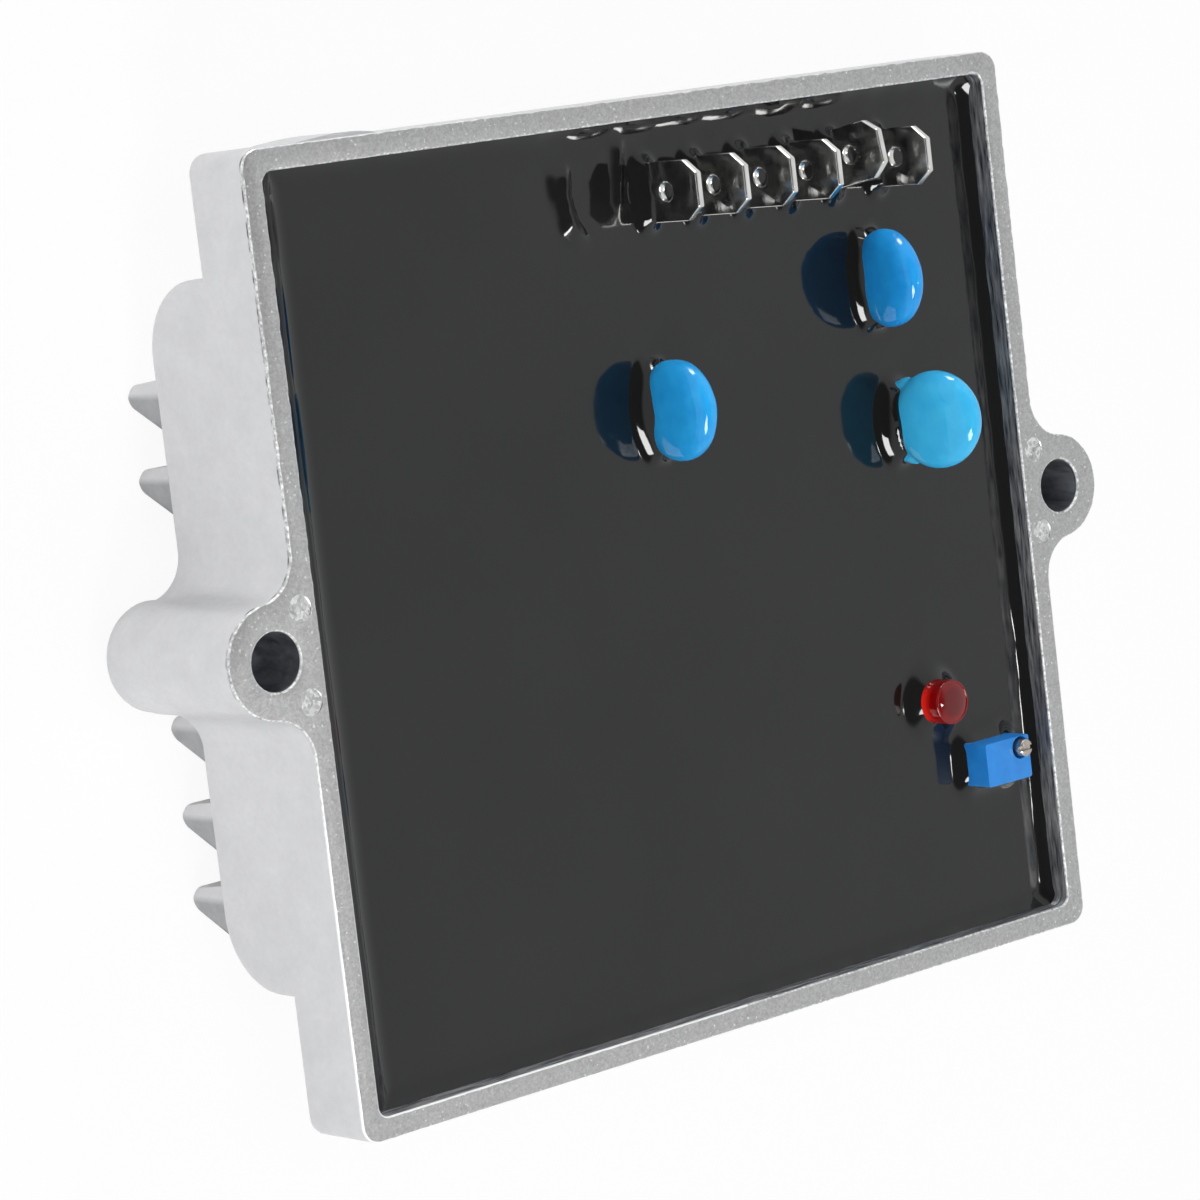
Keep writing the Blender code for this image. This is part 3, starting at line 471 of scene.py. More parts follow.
def hole_tool(side):
    """The bore of a lug, with the rounded edge that the core pin leaves at the front."""
    mouth = [(hole_radius + inset, front - height) for inset, height in reversed(rolled(hole_edge, 3))]
    profile = [(0, 0), (hole_radius, 0)] + mouth + [(hole_radius + hole_edge, front + 4), (0, front + 4)]
    return moved(turned(profile, 64), (side * lug_x, 0, 0))


def pin_tool(place):
    """The shallow round mark of an ejector pin."""
    profile = ((0, front - pin_depth), (pin_radius, front - pin_depth), (pin_radius, front + 1), (0, front + 1))
    return moved(turned(profile, 40), (*place, 0))


def is_fin_root(edge):
    """True for the hollow edges where the fins stand on the back."""
    at_back = all(abs(vertex.co.z - body_back) < 0.02 for vertex in edge.verts)
    return at_back and not edge.is_convex and edge.calc_face_angle() > sharp


casting = shape("die_casting", tray_plate())
sides = (-1, 1)
combine(casting, "UNION", [deep_middle(), gate_stub()] + [lug_column(side) for side in sides])
combine(casting, "UNION", [fin(place) for place in fin_places] + [boss(side) for side in sides])
hollow = deep_outline(wall, body_back + floor_thickness, shelf + 0.3)
hollow_half = tray_half[0] - wall - 0.1
hollow_tool = loft([[(x, y, z) for y, z in hollow] for x in (-hollow_half, hollow_half)])
cuts = [recess_tool(), hollow_tool] + [hole_tool(side) for side in sides]
cuts += [pin_tool(place) for place in pin_places]
combine(casting, "DIFFERENCE", cuts)
round_edges(casting, fillet, 4, is_fin_root)


def finish(name, colour, roughness, metallic=0.0, **sockets):
    """A Principled material. Further sockets are named as in the shader, with _ for a space."""
    made = bpy.data.materials.new(name)
    made.use_nodes = True
    shader = made.node_tree.nodes["Principled BSDF"]
    shader.inputs["Base Color"].default_value = (*colour, 1)
    shader.inputs["Roughness"].default_value = roughness
    shader.inputs["Metallic"].default_value = metallic
    for socket, value in sockets.items():
        shader.inputs[socket.replace("_", " ")].default_value = value
    return made


def grain(material, size, detail=2.0, stretch=(1, 1, 1), low=0.0, high=1.0):
    """Smooth noise whose blotches are about this many millimetres across, between two values."""
    tree = material.node_tree
    place = add(tree, "ShaderNodeTexCoord").outputs["Object"]
    place = add(tree, "ShaderNodeMapping", {"Vector": place, "Scale": stretch}).outputs[0]
    values = {"Vector": place, "Scale": 1 / (size * metre), "Detail": detail}
    noisy = add(tree, "ShaderNodeTexNoise", values).outputs["Fac"]
    return ranged(material, noisy, low, high, 0.3, 0.7)


def crystals(material, size):
    """A random value from 0 to 1 for each tiny crystal of the metal's skin."""
    tree = material.node_tree
    place = add(tree, "ShaderNodeTexCoord").outputs["Object"]
    cells = add(tree, "ShaderNodeTexVoronoi", {"Vector": place, "Scale": 1 / (size * metre)})
    return add(tree, "ShaderNodeSeparateColor", {0: cells.outputs["Color"]}).outputs[0]


def ranged(material, factor, low, high, start=0.0, end=1.0):
    """A factor brought from one range to another."""
    values = {"Value": factor, "From Min": start, "From Max": end, "To Min": low, "To Max": high}
    return add(material.node_tree, "ShaderNodeMapRange", values).outputs[0]


def round_zone(material, across, upward, centre, radius):
    """One inside a circle and nought outside it, for a place given by two sockets."""
    tree = material.node_tree
    off_x = worked(tree, "SUBTRACT", across, centre[0] * metre)
    off_y = worked(tree, "SUBTRACT", upward, centre[1] * metre)
    squared = worked(tree, "ADD", worked(tree, "MULTIPLY", off_x, off_x), worked(tree, "MULTIPLY", off_y, off_y))
    return ranged(material, squared, 1, 0, (radius * metre) ** 2, ((radius + 0.06) * metre) ** 2)


def tinted(material, factor, first, second):
    """A colour that goes from the first to the second with a factor, and is the surface's colour so far."""
    tree = material.node_tree
    first, second = (value if isinstance(value, bpy.types.NodeSocket) else (*value, 1) for value in (first, second))
    mixed = add(tree, "ShaderNodeMix", {0: factor, 6: first, 7: second}, data_type="RGBA").outputs[2]
    tree.links.new(mixed, tree.nodes["Principled BSDF"].inputs["Base Color"])
    return mixed


def blended(material, factor, first, second):
    """A number that goes from the first to the second with a factor."""
    return add(material.node_tree, "ShaderNodeMix", {0: factor, 2: first, 3: second}).outputs[0]


def bumped(material, factor, depth, under=None):
    """Raises the surface by a factor, to a depth in millimetres, over another bump if there is one."""
    tree = material.node_tree
    made = add(tree, "ShaderNodeBump", {"Height": factor, "Distance": depth * metre})
    if under:
        tree.links.new(under, made.inputs["Normal"])
    tree.links.new(made.outputs[0], tree.nodes["Principled BSDF"].inputs["Normal"])
    return made.outputs[0]


def into(material, factor, socket):
    """Feeds a factor to one of the shader's sockets."""
    material.node_tree.links.new(factor, material.node_tree.nodes["Principled BSDF"].inputs[socket])


crack_shadow_fade = (-12 * metre, 8 * metre)
flash_highlight_fade = (-22 * metre, -6 * metre)
zone_edge = 0.03 * metre
cast_metal = finish("cast_aluminium", (0.8, 0.8, 0.8), 0.38, 1.0)
tree = cast_metal.node_tree
object_place = add(tree, "ShaderNodeTexCoord").outputs["Object"]
place_x, place_y, place_z = add(tree, "ShaderNodeSeparateXYZ", {0: object_place}).outputs
from_middle = worked(tree, "ABSOLUTE", place_x, 0.0)
on_face = ranged(cast_metal, place_z, 0, 1, (front - 0.03) * metre, (front - 0.01) * metre)
edge_foot = front - front_edge
above_flank = ranged(cast_metal, place_z, 0, 1, edge_foot * metre, (edge_foot + 0.06) * metre)
below_face = worked(tree, "SUBTRACT", 1.0, above_flank)
from_level = worked(tree, "ABSOLUTE", place_y, 0.0)
pin_mark = round_zone(cast_metal, from_middle, from_level, pin_places[0], pin_radius)
bore = round_zone(cast_metal, from_middle, place_y, (lug_x, 0), hole_radius + 0.02)
bore = worked(tree, "MULTIPLY", bore, below_face)
upper_side = tray_half[1]
upper_edge = ranged(cast_metal, place_y, 1, 0.25, (upper_side - 0.5) * metre, (upper_side - 0.3) * metre)
flash = worked(tree, "MULTIPLY", above_flank, worked(tree, "SUBTRACT", 1.0, on_face))
flash = worked(tree, "MULTIPLY", flash, worked(tree, "SUBTRACT", upper_edge, pin_mark))
inner_x, inner_y = ((half - wall + 0.05) * metre for half in tray_half)
far_x = ranged(cast_metal, from_middle, 1, 0, inner_x, inner_x + zone_edge)
far_y = ranged(cast_metal, from_level, 1, 0, inner_y, inner_y + zone_edge)
inside = worked(tree, "MULTIPLY", worked(tree, "MULTIPLY", far_x, far_y), below_face)
above_shelf = ranged(cast_metal, place_z, 0, 1, (rim_back + 0.3) * metre, (rim_back + 0.6) * metre)
inside = worked(tree, "MULTIPLY", inside, above_shelf)
fin_side = ranged(cast_metal, from_middle, 1, 0, (fin_half + 0.05) * metre, (fin_half + 0.1) * metre)
fin_low = ranged(cast_metal, place_z, 1, 0, (body_back - 0.5) * metre, (body_back + 0.1) * metre)
# Painted shadow: a broken dark line just under the rounded front edge stands in for the shade of a crack below the
# flash.
crack_shadow_top = ranged(cast_metal, place_z, 0, 1, (edge_foot - 0.24) * metre, (edge_foot - 0.16) * metre)
crack_shadow = worked(tree, "MULTIPLY", crack_shadow_top, below_face)
crack_shadow = worked(tree, "MULTIPLY", crack_shadow, grain(cast_metal, 1.6, 4, low=-0.8, high=1.7))
crack_shadow = worked(tree, "MULTIPLY", crack_shadow, ranged(cast_metal, place_y, 0, 1, *crack_shadow_fade))
crystal = crystals(cast_metal, 0.20)
cloud = grain(cast_metal, 3.0, 5)
flank_tone = tinted(cast_metal, cloud, (0.72, 0.72, 0.735), (0.77, 0.77, 0.78))
# Painted shade: the fins are toned darker than the flanks, and the top side of each fin is painted lighter as a
# painted highlight band.
fin_shade_and_highlight = tinted(cast_metal, cloud, (0.36, 0.365, 0.38), (0.43, 0.435, 0.445))
for place in fin_places:
    lit_side_start = ranged(cast_metal, place_y, 0, 1, (place - 0.2) * metre, (place + 0.5) * metre)
    lit_side_end = worked(tree, "LESS_THAN", place_y, (place + 3) * metre)
    fin_shade_and_highlight = tinted(cast_metal, worked(tree, "MULTIPLY", lit_side_start, lit_side_end), fin_shade_and_highlight, (0.72, 0.72, 0.73))
flank_tone = tinted(cast_metal, worked(tree, "MULTIPLY", fin_side, fin_low), flank_tone, fin_shade_and_highlight)
face_tone = tinted(cast_metal, crystal, (0.45, 0.45, 0.44), (0.60, 0.60, 0.59))
face_tone = tinted(cast_metal, grain(cast_metal, 0.45, 6, low=-0.3, high=0.45), face_tone, (0.34, 0.34, 0.33))
tone = tinted(cast_metal, on_face, flank_tone, face_tone)
tone = tinted(cast_metal, grain(cast_metal, 0.8, 5, low=0.0, high=0.22), tone, (0.62, 0.62, 0.62))
sparkle = ranged(cast_metal, crystal, 0, 0.6, 0.984, 0.992)
tone = tinted(cast_metal, worked(tree, "MULTIPLY", sparkle, on_face), tone, (0.95, 0.95, 0.95))
pin_tone = tinted(cast_metal, crystals(cast_metal, 0.34), (0.48, 0.48, 0.47), (0.94, 0.94, 0.93))
pin_tone = tinted(cast_metal, grain(cast_metal, 1.0, 2, low=-1.1, high=0.8), pin_tone, (0.30, 0.30, 0.30))
tone = tinted(cast_metal, pin_mark, tone, pin_tone)
streaks = grain(cast_metal, 0.32, 6, (0.1, 0.1, 1))
wall_tone = tinted(cast_metal, streaks, (0.05, 0.07, 0.11), (1.0, 1.0, 1.0))
tone = tinted(cast_metal, inside, tone, wall_tone)
# Painted shade: the inside of each lug hole is toned darker, with streaks of scoring.
scoring = grain(cast_metal, 1.2, 4, (1, 1, 0.4))
bore_shade_tone = tinted(cast_metal, scoring, (0.22, 0.23, 0.25), (0.62, 0.64, 0.67))
tone = tinted(cast_metal, bore, tone, bore_shade_tone)
# Painted shadow of the crack under the flash.
tone = tinted(cast_metal, worked(tree, "MAXIMUM", crack_shadow, 0.0), tone, (0.16, 0.16, 0.17))
# Painted highlight: the ragged flash on the rounded front edges is toned up to near white, broken by darker patches
# and even on the lower left, and it is made mostly non-metallic so that it shows white from any side.
flash_even_highlight = ranged(cast_metal, place_y, 1, 0, *flash_highlight_fade)
flash_even_highlight = worked(tree, "MULTIPLY", flash_even_highlight, worked(tree, "LESS_THAN", place_x, 0.0))
flash_highlight_tone = tinted(cast_metal, grain(cast_metal, 0.4, 4), (0.28, 0.28, 0.28), (1.0, 1.0, 1.0))
flash_highlight_tone = tinted(cast_metal, flash_even_highlight, flash_highlight_tone, (0.95, 0.95, 0.95))
tinted(cast_metal, flash, tone, flash_highlight_tone)
roughness = blended(cast_metal, inside, grain(cast_metal, 0.5, 3, low=0.33, high=0.46), 0.42)
into(cast_metal, blended(cast_metal, flash, roughness, 0.5), "Roughness")
into(cast_metal, blended(cast_metal, flash, 1.0, 0.2), "Metallic")
skin = bumped(cast_metal, grain(cast_metal, 1.3, 3), 0.016)
bumped(cast_metal, crystal, 0.006, skin)
is_piece(casting, cast_metal, "module", ["housing"], 30)

# Potting resin
# Black two-part resin, poured over the board to about three millimetres below the rim and cured with a
# mirror skin. It creeps up the tray's walls and up everything that stands in it. A string of late resin has
# left a curved fold near the upper edge, and a straight one beside the first terminal.
resin_drop = 3.0
resin_level = front - resin_drop
resin_half = (tray_half[0] - wall - 0.02, tray_half[1] - wall - 0.02)
disc_places = ((31.6, 26.3, 0.5, -8.0), (35.1, 10.4, 2.1, 14.0), (-0.8, 16.6, 0.7, 0.0))
disc_radius = 5.35
disc_thickness = 3.7
tab_first = (1.35, 39.05)
tab_pitch = 6.69
tab_count = 6
tab_size = (0.8, 6.35)
lamp_place = (34.5, -20.75)
lamp_radius = 2.45
trimmer_place = (41.6, -28.65)
trimmer_size = (6.8, 4.8)
curved_fold = ((-10.7, 43.8), (-11.0, 39.9), (-10.0, 36.3), (-7.4, 33.6))
straight_fold = ((-2.2, 45.6), (-3.5, 36.2))


def stations(ends, fine, step, fine_step):
    """Grid lines between two ends, close together in the fine stretches and further apart elsewhere."""
    places = [ends[0]]
    while places[-1] < ends[1] - 1e-6:
        close = any(low <= places[-1] < high for low, high in fine)
        places.append(min(ends[1], places[-1] + (fine_step if close else step)))
    return np.array(places)


def creep(gap, foot, power=2.0):
    """How far resin has crept up at a gap from what it clings to: one where they meet, nought at its foot."""
    return np.maximum(1 - np.maximum(gap, -0.4) / foot, 0) ** power


def box_gap(x, y, centre, half, corner):
    """Distance from the outline of a rectangle with round corners, negative inside."""
    out_x = np.abs(x - centre[0]) - half[0] + corner
    out_y = np.abs(y - centre[1]) - half[1] + corner
    outside = np.hypot(np.maximum(out_x, 0), np.maximum(out_y, 0))
    return outside + np.minimum(np.maximum(out_x, out_y), 0) - corner


def oval_gap(x, y, centre, half):
    """About the distance from the outline of an oval, negative inside."""
    off_x, off_y = (x - centre[0]) / half[0], (y - centre[1]) / half[1]
    reach = np.hypot(off_x, off_y)
    return (reach - 1) * reach / (np.hypot(off_x / half[0], off_y / half[1]) + 1e-9)


def ripple(x, y, size, seed):
    """Smooth unevenness over the grid, about from -1 to 1."""
    return np.array([[noise.noise(Vector((a / size[0], b / size[1], seed))) for a in x[0]] for b in y[:, 0]])


def eased(share):
    """A share from 0 to 1 with a soft start and end."""
    share = np.clip(share, 0, 1)
    return share * share * (3 - 2 * share)


def fold(x, y, route, widths, height):
    """A fold in the skin along a route: it rises slowly from the left and drops steeply at its right."""
    best = np.full(x.shape, np.inf)
    lift = np.zeros(x.shape)
    for number, (here, there) in enumerate(zip(route, route[1:])):
        run = np.array(there) - here
        length = np.hypot(*run)
        along = np.clip(((x - here[0]) * run[0] + (y - here[1]) * run[1]) / length**2, 0, 1)
        off_x, off_y = x - here[0] - along * run[0], y - here[1] - along * run[1]
        gap = np.hypot(off_x, off_y)
        side = np.sign(off_y * run[0] - off_x * run[1]) * gap
        part = (number + along) / (len(route) - 1)
        half = widths[0] + (widths[1] - widths[0]) * part
        rise = np.clip((side + half) / (2 * half), 0, 1) ** 1.4 * eased((half + 0.8 - side) / 0.8)
        rise *= height * eased((1.0 - part) / 0.3) * eased(part / 0.2) * (half / widths[0])
        lift = np.where(gap < best, rise, lift)
        best = np.minimum(best, gap)
    return lift


def resin_height(x, y):
    """The height of the resin's skin over the whole tray."""
    height = resin_level + 0.03 * ripple(x, y, (17, 13), 1.5)
    crowded = np.clip((y - 31) / 12, 0, 1) * np.clip((x + 22) / 10, 0, 1)
    height += crowded * 0.06 * ripple(x, y, (4.5, 3.0), 4.2)
    by_edge = np.clip((y - 43) / 1.5, 0, 1) * np.clip((x + 12) / 8, 0, 1)
    height += by_edge * 0.05 * ripple(x, y, (3.4, 2.4), 9.1)
    height += fold(x, y, curved_fold, (1.6, 1.0), 0.56) * (1 + 0.22 * ripple(x, y, (1.6, 1.6), 12.3))
    height += fold(x, y, straight_fold, (1.0, 0.7), 0.34)
    wavy = 1 + 0.3 * ripple(x, y, (3.5, 3.5), 7.7)
    at_walls = 0.68 * creep(-box_gap(x, y, (0, 0), resin_half, 2.6), 2.1, 2.3) * wavy
    at_left = 2.7 * creep(x + resin_half[0], 4.3) * (1 + 0.08 * ripple(x, y, (30, 7), 3.3))
    height += np.maximum(at_walls, at_left)
    for disc_x, disc_y, rise, lean in disc_places:
        above = rise + resin_drop
        foot_x = disc_x - above * math.tan(math.radians(lean))
        half_y = math.sqrt(max(disc_radius**2 - above**2, 0.0)) + 0.25
        gap = oval_gap(x, y, (foot_x, disc_y), (disc_thickness / 2 + 0.1, max(half_y, 3.6) + 0.35))
        height += (1.7 - 0.25 * rise) * creep(gap, 1.9, 2.2) * wavy
    for number in range(tab_count):
        gap = box_gap(x, y, (tab_first[0] + number * tab_pitch, tab_first[1]), (0.7, 3.3), 0.68)
        height += 0.85 * creep(gap, 1.7) * wavy
    height += 1.1 * creep(np.hypot(x - lamp_place[0], y - lamp_place[1]) - lamp_radius, 2.5) * wavy
    gap = box_gap(x, y, trimmer_place, (trimmer_size[0] / 2 + 0.12, trimmer_size[1] / 2 + 0.3), 1.6)
    return height + 0.8 * creep(gap, 2.2)


close_x = ((-49.7, -45.0), (-13.5, 49.7))
close_y = ((-46.7, -45.0), (-33.5, -16.5), (3.0, 46.7))
wide_step = 1.1
close_step = 0.235
across = stations((-resin_half[0], resin_half[0]), close_x, wide_step, close_step)
upward = stations((-resin_half[1], resin_half[1]), close_y, wide_step, close_step)
grid_x, grid_y = np.meshgrid(across, upward)
grid_z = resin_height(grid_x, grid_y)
columns, rows = len(across), len(upward)
points = [tuple(point) for point in np.stack([grid_x, grid_y, grid_z], -1).reshape(-1, 3)]
faces = []
for start in range(0, columns * (rows - 1), columns):
    faces += [(k, k + 1, k + columns + 1, k + columns) for k in range(start, start + columns - 1)]
border = list(range(columns)) + [j * columns + columns - 1 for j in range(1, rows)]
border += [(rows - 1) * columns + i for i in range(columns - 2, -1, -1)]
border += [j * columns for j in range(rows - 2, 0, -1)]
lowest = len(points)
points += [(points[k][0], points[k][1], shelf + 2.2) for k in border]
for k in range(len(border)):
    following = (k + 1) % len(border)
    faces.append((border[following], border[k], lowest + k, lowest + following))
faces.append(tuple(range(lowest + len(border) - 1, lowest - 1, -1)))
resin_data = bpy.data.meshes.new("resin_skin")
resin_data.from_pydata(points, [], faces)
resin = bpy.data.objects.new("resin_skin", resin_data)
bpy.context.scene.collection.objects.link(resin)

resin_black = finish("potting_black", (0.006, 0.006, 0.0062), 0.07, IOR=1.52)
into(resin_black, grain(resin_black, 9, 3, low=0.04, high=0.09), "Roughness")
tinted(resin_black, grain(resin_black, 22, 4), (0.005, 0.005, 0.005), (0.008, 0.008, 0.0082))
bumped(resin_black, grain(resin_black, 4.5, 2), 0.012)
is_piece(resin, resin_black, "module", ["potting_resin"], 60)

# Spade terminals
# Six push-on tabs stamped from brass and tinned, soldered into the board. The punch has left a soft edge
# on one side and a small burr on the other, though here every edge that stands out of the resin is rounded
# alike, and the fifth one has been knocked over a little.
tab_tip = front + 5.5
tab_hole = (1.0, 4.8)
tab_chamfer = (1.4, 1.9)
tab_lean = {5: 8.8}
board_front = front - 5.4
leg = (1.3, 4.2)

tin = finish("tinned_brass", (0.80, 0.79, 0.77), 0.2, 1.0)
into(tin, grain(tin, 1.6, 4, low=0.10, high=0.24), "Roughness")
tinted(tin, grain(tin, 2.5, 5), (0.72, 0.71, 0.68), (0.88, 0.88, 0.86))
bumped(tin, grain(tin, 0.8, 3, (1, 0.3, 1)), 0.01)


def tab_outline():
    """A tab seen flat: chamfered above, with two solder legs below."""
    half = tab_size[1] / 2
    inner, outer = (leg[1] - leg[0]) / 2, (leg[1] + leg[0]) / 2
    shoulder = board_front + 0.9
    foot = board_front - 1.5
    right = [(inner, shoulder), (inner, foot), (outer, foot), (outer, shoulder), (half, shoulder)]
    right += [(half, tab_tip - tab_chamfer[1]), (half - tab_chamfer[0], tab_tip)]
    return right + [(-y, z) for y, z in reversed(right)]


def is_ridge(edge):
    """True for a sharp edge that stands out."""
    return edge.is_convex and edge.calc_face_angle() > sharp


def is_tab_edge(edge):
    """True for the edges of a tab that stand out of the resin."""
    return is_ridge(edge) and max(vertex.co.z for vertex in edge.verts) > resin_level - 1


tab_faces = (-tab_size[0] / 2, tab_size[0] / 2)
blank = shape("spade_tab_1", loft([[(x, y, z) for y, z in tab_outline()] for x in tab_faces]))
hole = turned(((0, -3), (tab_hole[0], -3), (tab_hole[0], 3), (0, 3)), 40)
combine(blank, "DIFFERENCE", [moved(hole, (0, 0, tab_tip - tab_hole[1]), math.pi / 2, "Y")])
round_edges(blank, 0.13, 3, is_tab_edge)
tabs = [blank]
for number in range(2, tab_count + 1):
    tab = bpy.data.objects.new("spade_tab_" + str(number), blank.data.copy())
    bpy.context.scene.collection.objects.link(tab)
    tabs.append(tab)
pivot = Matrix.Translation((0, 0, board_front))
for number, tab in enumerate(tabs, start=1):
    lean = pivot @ Matrix.Rotation(-math.radians(tab_lean.get(number, 0)), 4, "X") @ pivot.inverted()
    for vertex in tab.data.vertices:
        if vertex.co.z > board_front:
            vertex.co = lean @ vertex.co
    tab.data.transform(Matrix.Translation((tab_first[0] + (number - 1) * tab_pitch, tab_first[1], 0)))
    is_piece(tab, tin, "module", ["spade_terminal_" + str(number)], 50)

# Disc varistors
# Three zinc oxide discs on edge, each on two wires and dipped in blue coating, which has run a little way
# down the wires before it set. The second one got a paler coat.
disc_fullness = 2.5
wire_spacing = 7.5
leg_flatness = 0.7
disc_voxel = 0.16
coat_tones = {
    1: ((0.014, 0.29, 0.76), (0.020, 0.36, 0.84)),
    2: ((0.040, 0.46, 0.84), (0.060, 0.54, 0.90)),
    3: ((0.018, 0.34, 0.80), (0.028, 0.42, 0.88)),
}


def disc_coat(number):
    """The glossy blue dip of one disc, with the faint orange peel of a thick coat."""
    first, second = coat_tones[number]
    gloss = {"Coat_Weight": 1.0, "Coat_Roughness": 0.05, "Coat_IOR": 1.45}
    coat = finish("varistor_coating_" + str(number), first, 0.25, **gloss)
    coat.node_tree.nodes["Principled BSDF"].inputs["Specular IOR Level"].default_value = 0.0
    tinted(coat, grain(coat, 2.2, 3), first, second)
    bumped(coat, grain(coat, 1.7, 2), 0.03)
    return coat


def disc_body():
    """The dipped disc on edge, a full lens with its middle at the origin and its axis along X."""
    profile = []
    for i in range(25):
        angle = math.radians(90 - 7.5 * i)
        out = disc_radius * max(math.cos(angle), 0.0) ** (2 / disc_fullness)
        across = disc_thickness / 2 * abs(math.sin(angle)) ** (2 / disc_fullness)
        profile.append((out, math.copysign(across, math.sin(angle))))
    return moved(turned(profile, 56), turn=math.pi / 2, axis="Y")


def dipped_leg(side):
    """The coating that has run down one wire."""
    profile = ((0, -8.5), (0.45, -8.5), (0.5, -5.4), (0.7, -4.6), (1.0, -3.8), (1.1, -3.0), (0, -2.2))
    leg_mesh = turned(profile, 20)
    bmesh.ops.scale(leg_mesh, vec=(leg_flatness, 1, 1), verts=leg_mesh.verts)
    return moved(leg_mesh, (0, side * wire_spacing / 2, 0))


for number, (x, y, rise, lean) in enumerate(disc_places, start=1):
    disc = shape("dipped_disc_" + str(number), disc_body())
    combine(disc, "UNION", [dipped_leg(-1), dipped_leg(1)])
    remesh = disc.modifiers.new("even", "REMESH")
    remesh.mode = "VOXEL"
    remesh.voxel_size = disc_voxel
    relax = disc.modifiers.new("relax", "SMOOTH")
    relax.iterations = 12
    relax.factor = 0.5
    settle(disc)
    normals = [vertex.normal.copy() for vertex in disc.data.vertices]
    for vertex, normal in zip(disc.data.vertices, normals):
        swell = noise.noise(vertex.co * 0.45 + Vector((number * 5.0, 0, 0)))
        vertex.co += normal * 0.06 * swell
    stand = Matrix.Translation((x, y, front + rise)) @ Matrix.Rotation(math.radians(lean), 4, "Y")
    disc.data.transform(stand)
    is_piece(disc, disc_coat(number), "module", ["disc_varistor_" + str(number)], 80)

# Indicator lamp
# A 5 mm light-emitting diode moulded in clear red epoxy, with a flat top and a wider foot. The glow of light
# that enters from above and gathers in the lower part of its wall is painted into its colour, and its top is
# painted darker as painted shade.
lamp_top = front + 0.6
lamp_foot = board_front + 0.3
lens_red = finish("lamp_epoxy", (0.40, 0.002, 0.003), 0.05, IOR=1.5)
tree = lens_red.node_tree
lens_place = add(tree, "ShaderNodeTexCoord").outputs["Object"]
lens_x, lens_y, lens_z = add(tree, "ShaderNodeSeparateXYZ", {0: lens_place}).outputs
glow_low = ranged(lens_red, lens_z, 1, 0, (resin_level + 1.2) * metre, (resin_level + 2.4) * metre)
glow_side = ranged(lens_red, lens_x, 1, 0, (lamp_place[0] - 2.2) * metre, (lamp_place[0] - 0.9) * metre)
shaded_top = ranged(lens_red, lens_z, 0, 1, (lamp_top - 0.4) * metre, (lamp_top - 0.1) * metre)
red = tinted(lens_red, grain(lens_red, 2, 2), (0.24, 0.0015, 0.002), (0.32, 0.002, 0.003))
# Painted light: the top is painted darker as painted shade, and the lower part of the wall on the side towards the
# camera is painted bright red as a painted glow.
red = tinted(lens_red, shaded_top, red, (0.12, 0.0015, 0.002))
tinted(lens_red, worked(tree, "MULTIPLY", glow_low, glow_side), red, (1.0, 0.02, 0.01))
bumped(lens_red, grain(lens_red, 1.2, 2), 0.008)
lens_profile = [(0, lamp_foot), (2.9, lamp_foot), (2.9, lamp_foot + 1.0), (lamp_radius, lamp_foot + 1.0)]
lens_profile += arc((lamp_radius - 0.16, lamp_top - 0.36), 0.16, 0, 150, 8)
lens_profile += [((lamp_radius - 0.36) * i / 12, lamp_top - 0.26 * (i / 12) ** 2) for i in range(12, -1, -1)]
lens = shape("lamp_lens", moved(turned(lens_profile, 64), (*lamp_place, 0)))
is_piece(lens, lens_red, "module", ["indicator_led"], 35)

# Trimmer
# A quarter-inch multi-turn trimming potentiometer: a moulded blue case with its adjusting screw in one
# corner. The screw turns a worm inside and slips at the ends of its travel.
trimmer_top = front + 1.0
screw_place = (43.6, -27.55)
screw_top = front + 2.0
screw_radius = 0.95
well_floor = trimmer_top - 1.2
slot_half = 0.25
slot_depth = 0.45
case_blue = finish("trimmer_moulding", (0.03, 0.30, 0.78), 0.34)
tinted(case_blue, grain(case_blue, 1.6, 4), (0.012, 0.215, 0.66), (0.02, 0.255, 0.74))
bumped(case_blue, grain(case_blue, 0.22, 3), 0.012)
case_corners = rounded_corners(trimmer_size[0] / 2, trimmer_size[1] / 2, 0.25, 3)
case_outline = [(x + trimmer_place[0], y + trimmer_place[1]) for x, y in sum(case_corners, [])]
case = shape("trimmer_box", loft([raised(case_outline, level) for level in (board_front + 0.3, trimmer_top)]))
well_radius = screw_radius + 0.3
well = ((0, well_floor), (well_radius, well_floor), (well_radius, trimmer_top + 1), (0, trimmer_top + 1))
combine(case, "DIFFERENCE", [moved(turned(well, 40), (*screw_place, 0))])
round_edges(case, 0.16, 3, is_ridge)
is_piece(case, case_blue, "module", ["trimmer_case"], 35)

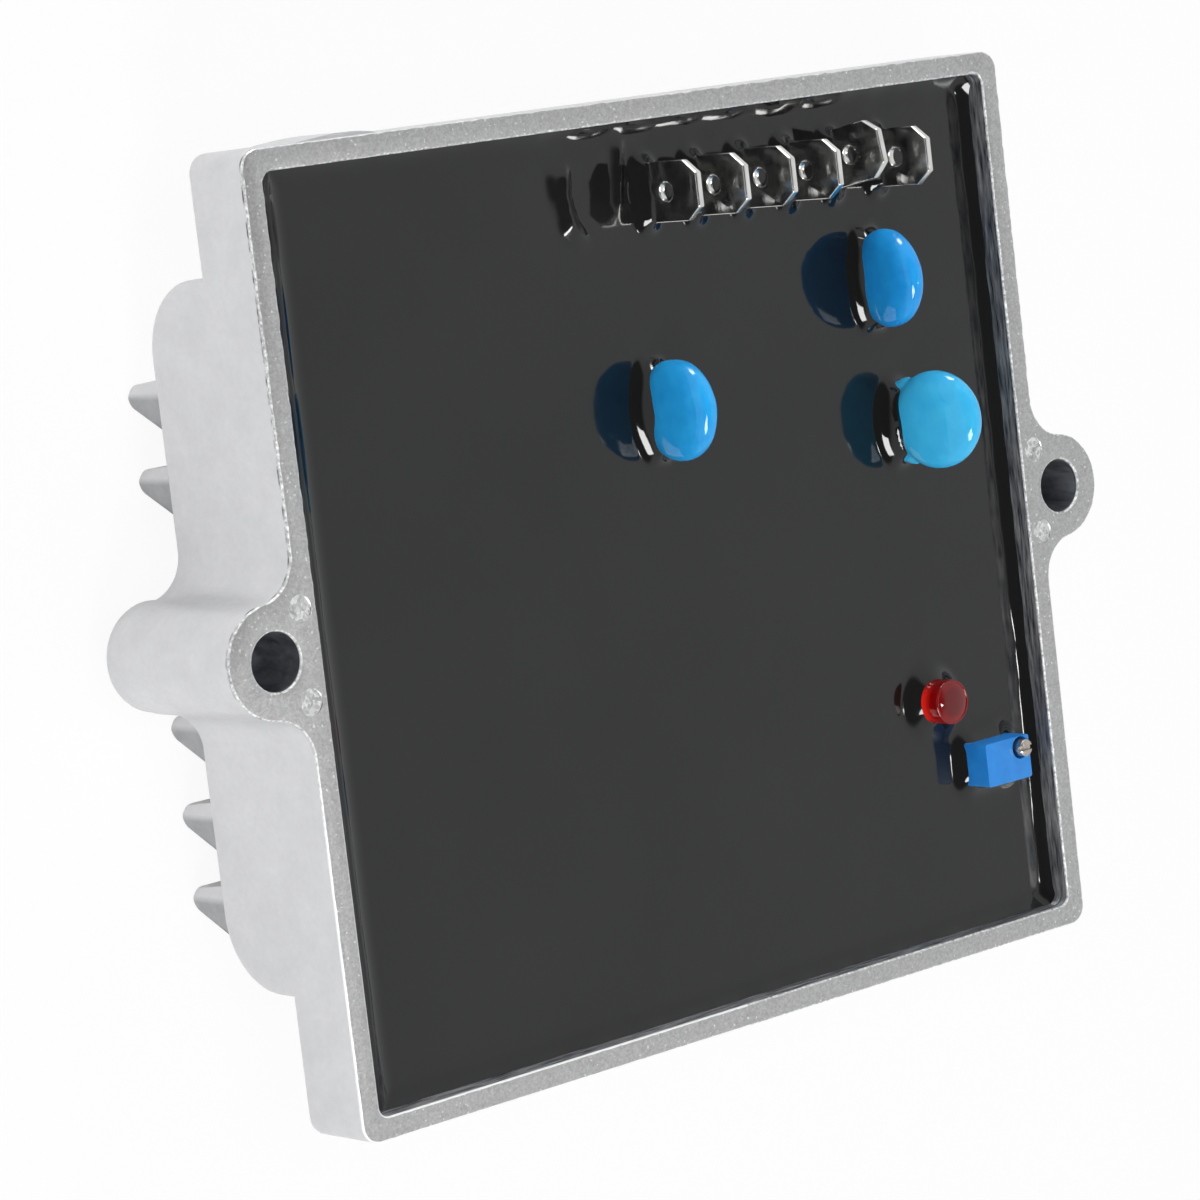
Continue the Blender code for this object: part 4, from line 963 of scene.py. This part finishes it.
screw_metal = finish("screw_nickel", (0.52, 0.47, 0.42), 0.3, 1.0)
into(screw_metal, grain(screw_metal, 0.5, 4, low=0.22, high=0.42), "Roughness")
bumped(screw_metal, grain(screw_metal, 0.3, 2), 0.008)
screw_profile = [(0, trimmer_top - 4.0), (0.6, trimmer_top - 4.0), (0.6, trimmer_top - 0.7)]
screw_profile += [(screw_radius, trimmer_top - 0.7), (screw_radius, screw_top - 0.15)]
screw_profile += [(screw_radius - 0.15, screw_top), (0, screw_top)]
screw = shape("adjusting_screw", moved(turned(screw_profile, 48), (*screw_place, 0)))
slot_outline = [(-2, -slot_half), (2, -slot_half), (2, slot_half), (-2, slot_half)]
slot = loft([raised(slot_outline, level) for level in (screw_top - slot_depth, screw_top + 1)])
combine(screw, "DIFFERENCE", [moved(slot, (*screw_place, 0))])
round_edges(screw, 0.05, 2, is_ridge)
is_piece(screw, screw_metal, "adjuster", ["trimmer_screw"], 35)

# Parts under the board
# The laminate board and the power parts that hang under it stand in the resin and are never seen. They
# keep their solid shapes and get plain workshop finishes.
hidden_finishes = (
    ("board_laminate", (0.05, 0.16, 0.08), (0.08, 0.22, 0.11), 0.45, 0.0, ("circuit_board",)),
    (
        "moulding_black",
        (0.018, 0.018, 0.02),
        (0.03, 0.03, 0.032),
        0.55,
        0.0,
        ("thyristor", "freewheel_diode", "rectifier_bridge", "control_ic"),
    ),
    ("pad_grey", (0.4, 0.42, 0.45), (0.5, 0.52, 0.55), 0.8, 0.0, ("thyristor_pad", "diode_pad")),
    ("zinc_plate", (0.62, 0.62, 0.6), (0.75, 0.75, 0.72), 0.3, 1.0, ("thyristor_screw", "diode_screw")),
    ("film_case_red", (0.45, 0.05, 0.03), (0.55, 0.07, 0.04), 0.4, 0.0, ("film_capacitor",)),
    (
        "sleeve_blue",
        (0.02, 0.04, 0.11),
        (0.04, 0.06, 0.15),
        0.35,
        0.0,
        ("electrolytic_capacitor_1", "electrolytic_capacitor_2"),
    ),
    ("cement_green", (0.4, 0.45, 0.37), (0.5, 0.55, 0.46), 0.75, 0.0, ("power_resistor_1", "power_resistor_2")),
)
for name, first_colour, second_colour, roughness, metallic, names in hidden_finishes:
    plain = finish(name, first_colour, roughness, metallic)
    tinted(plain, grain(plain, 1.5, 4), first_colour, second_colour)
    bumped(plain, grain(plain, 0.3, 3), 0.01)
    for node_name in names:
        nodes[node_name].data.materials.clear()
        nodes[node_name].data.materials.append(plain)
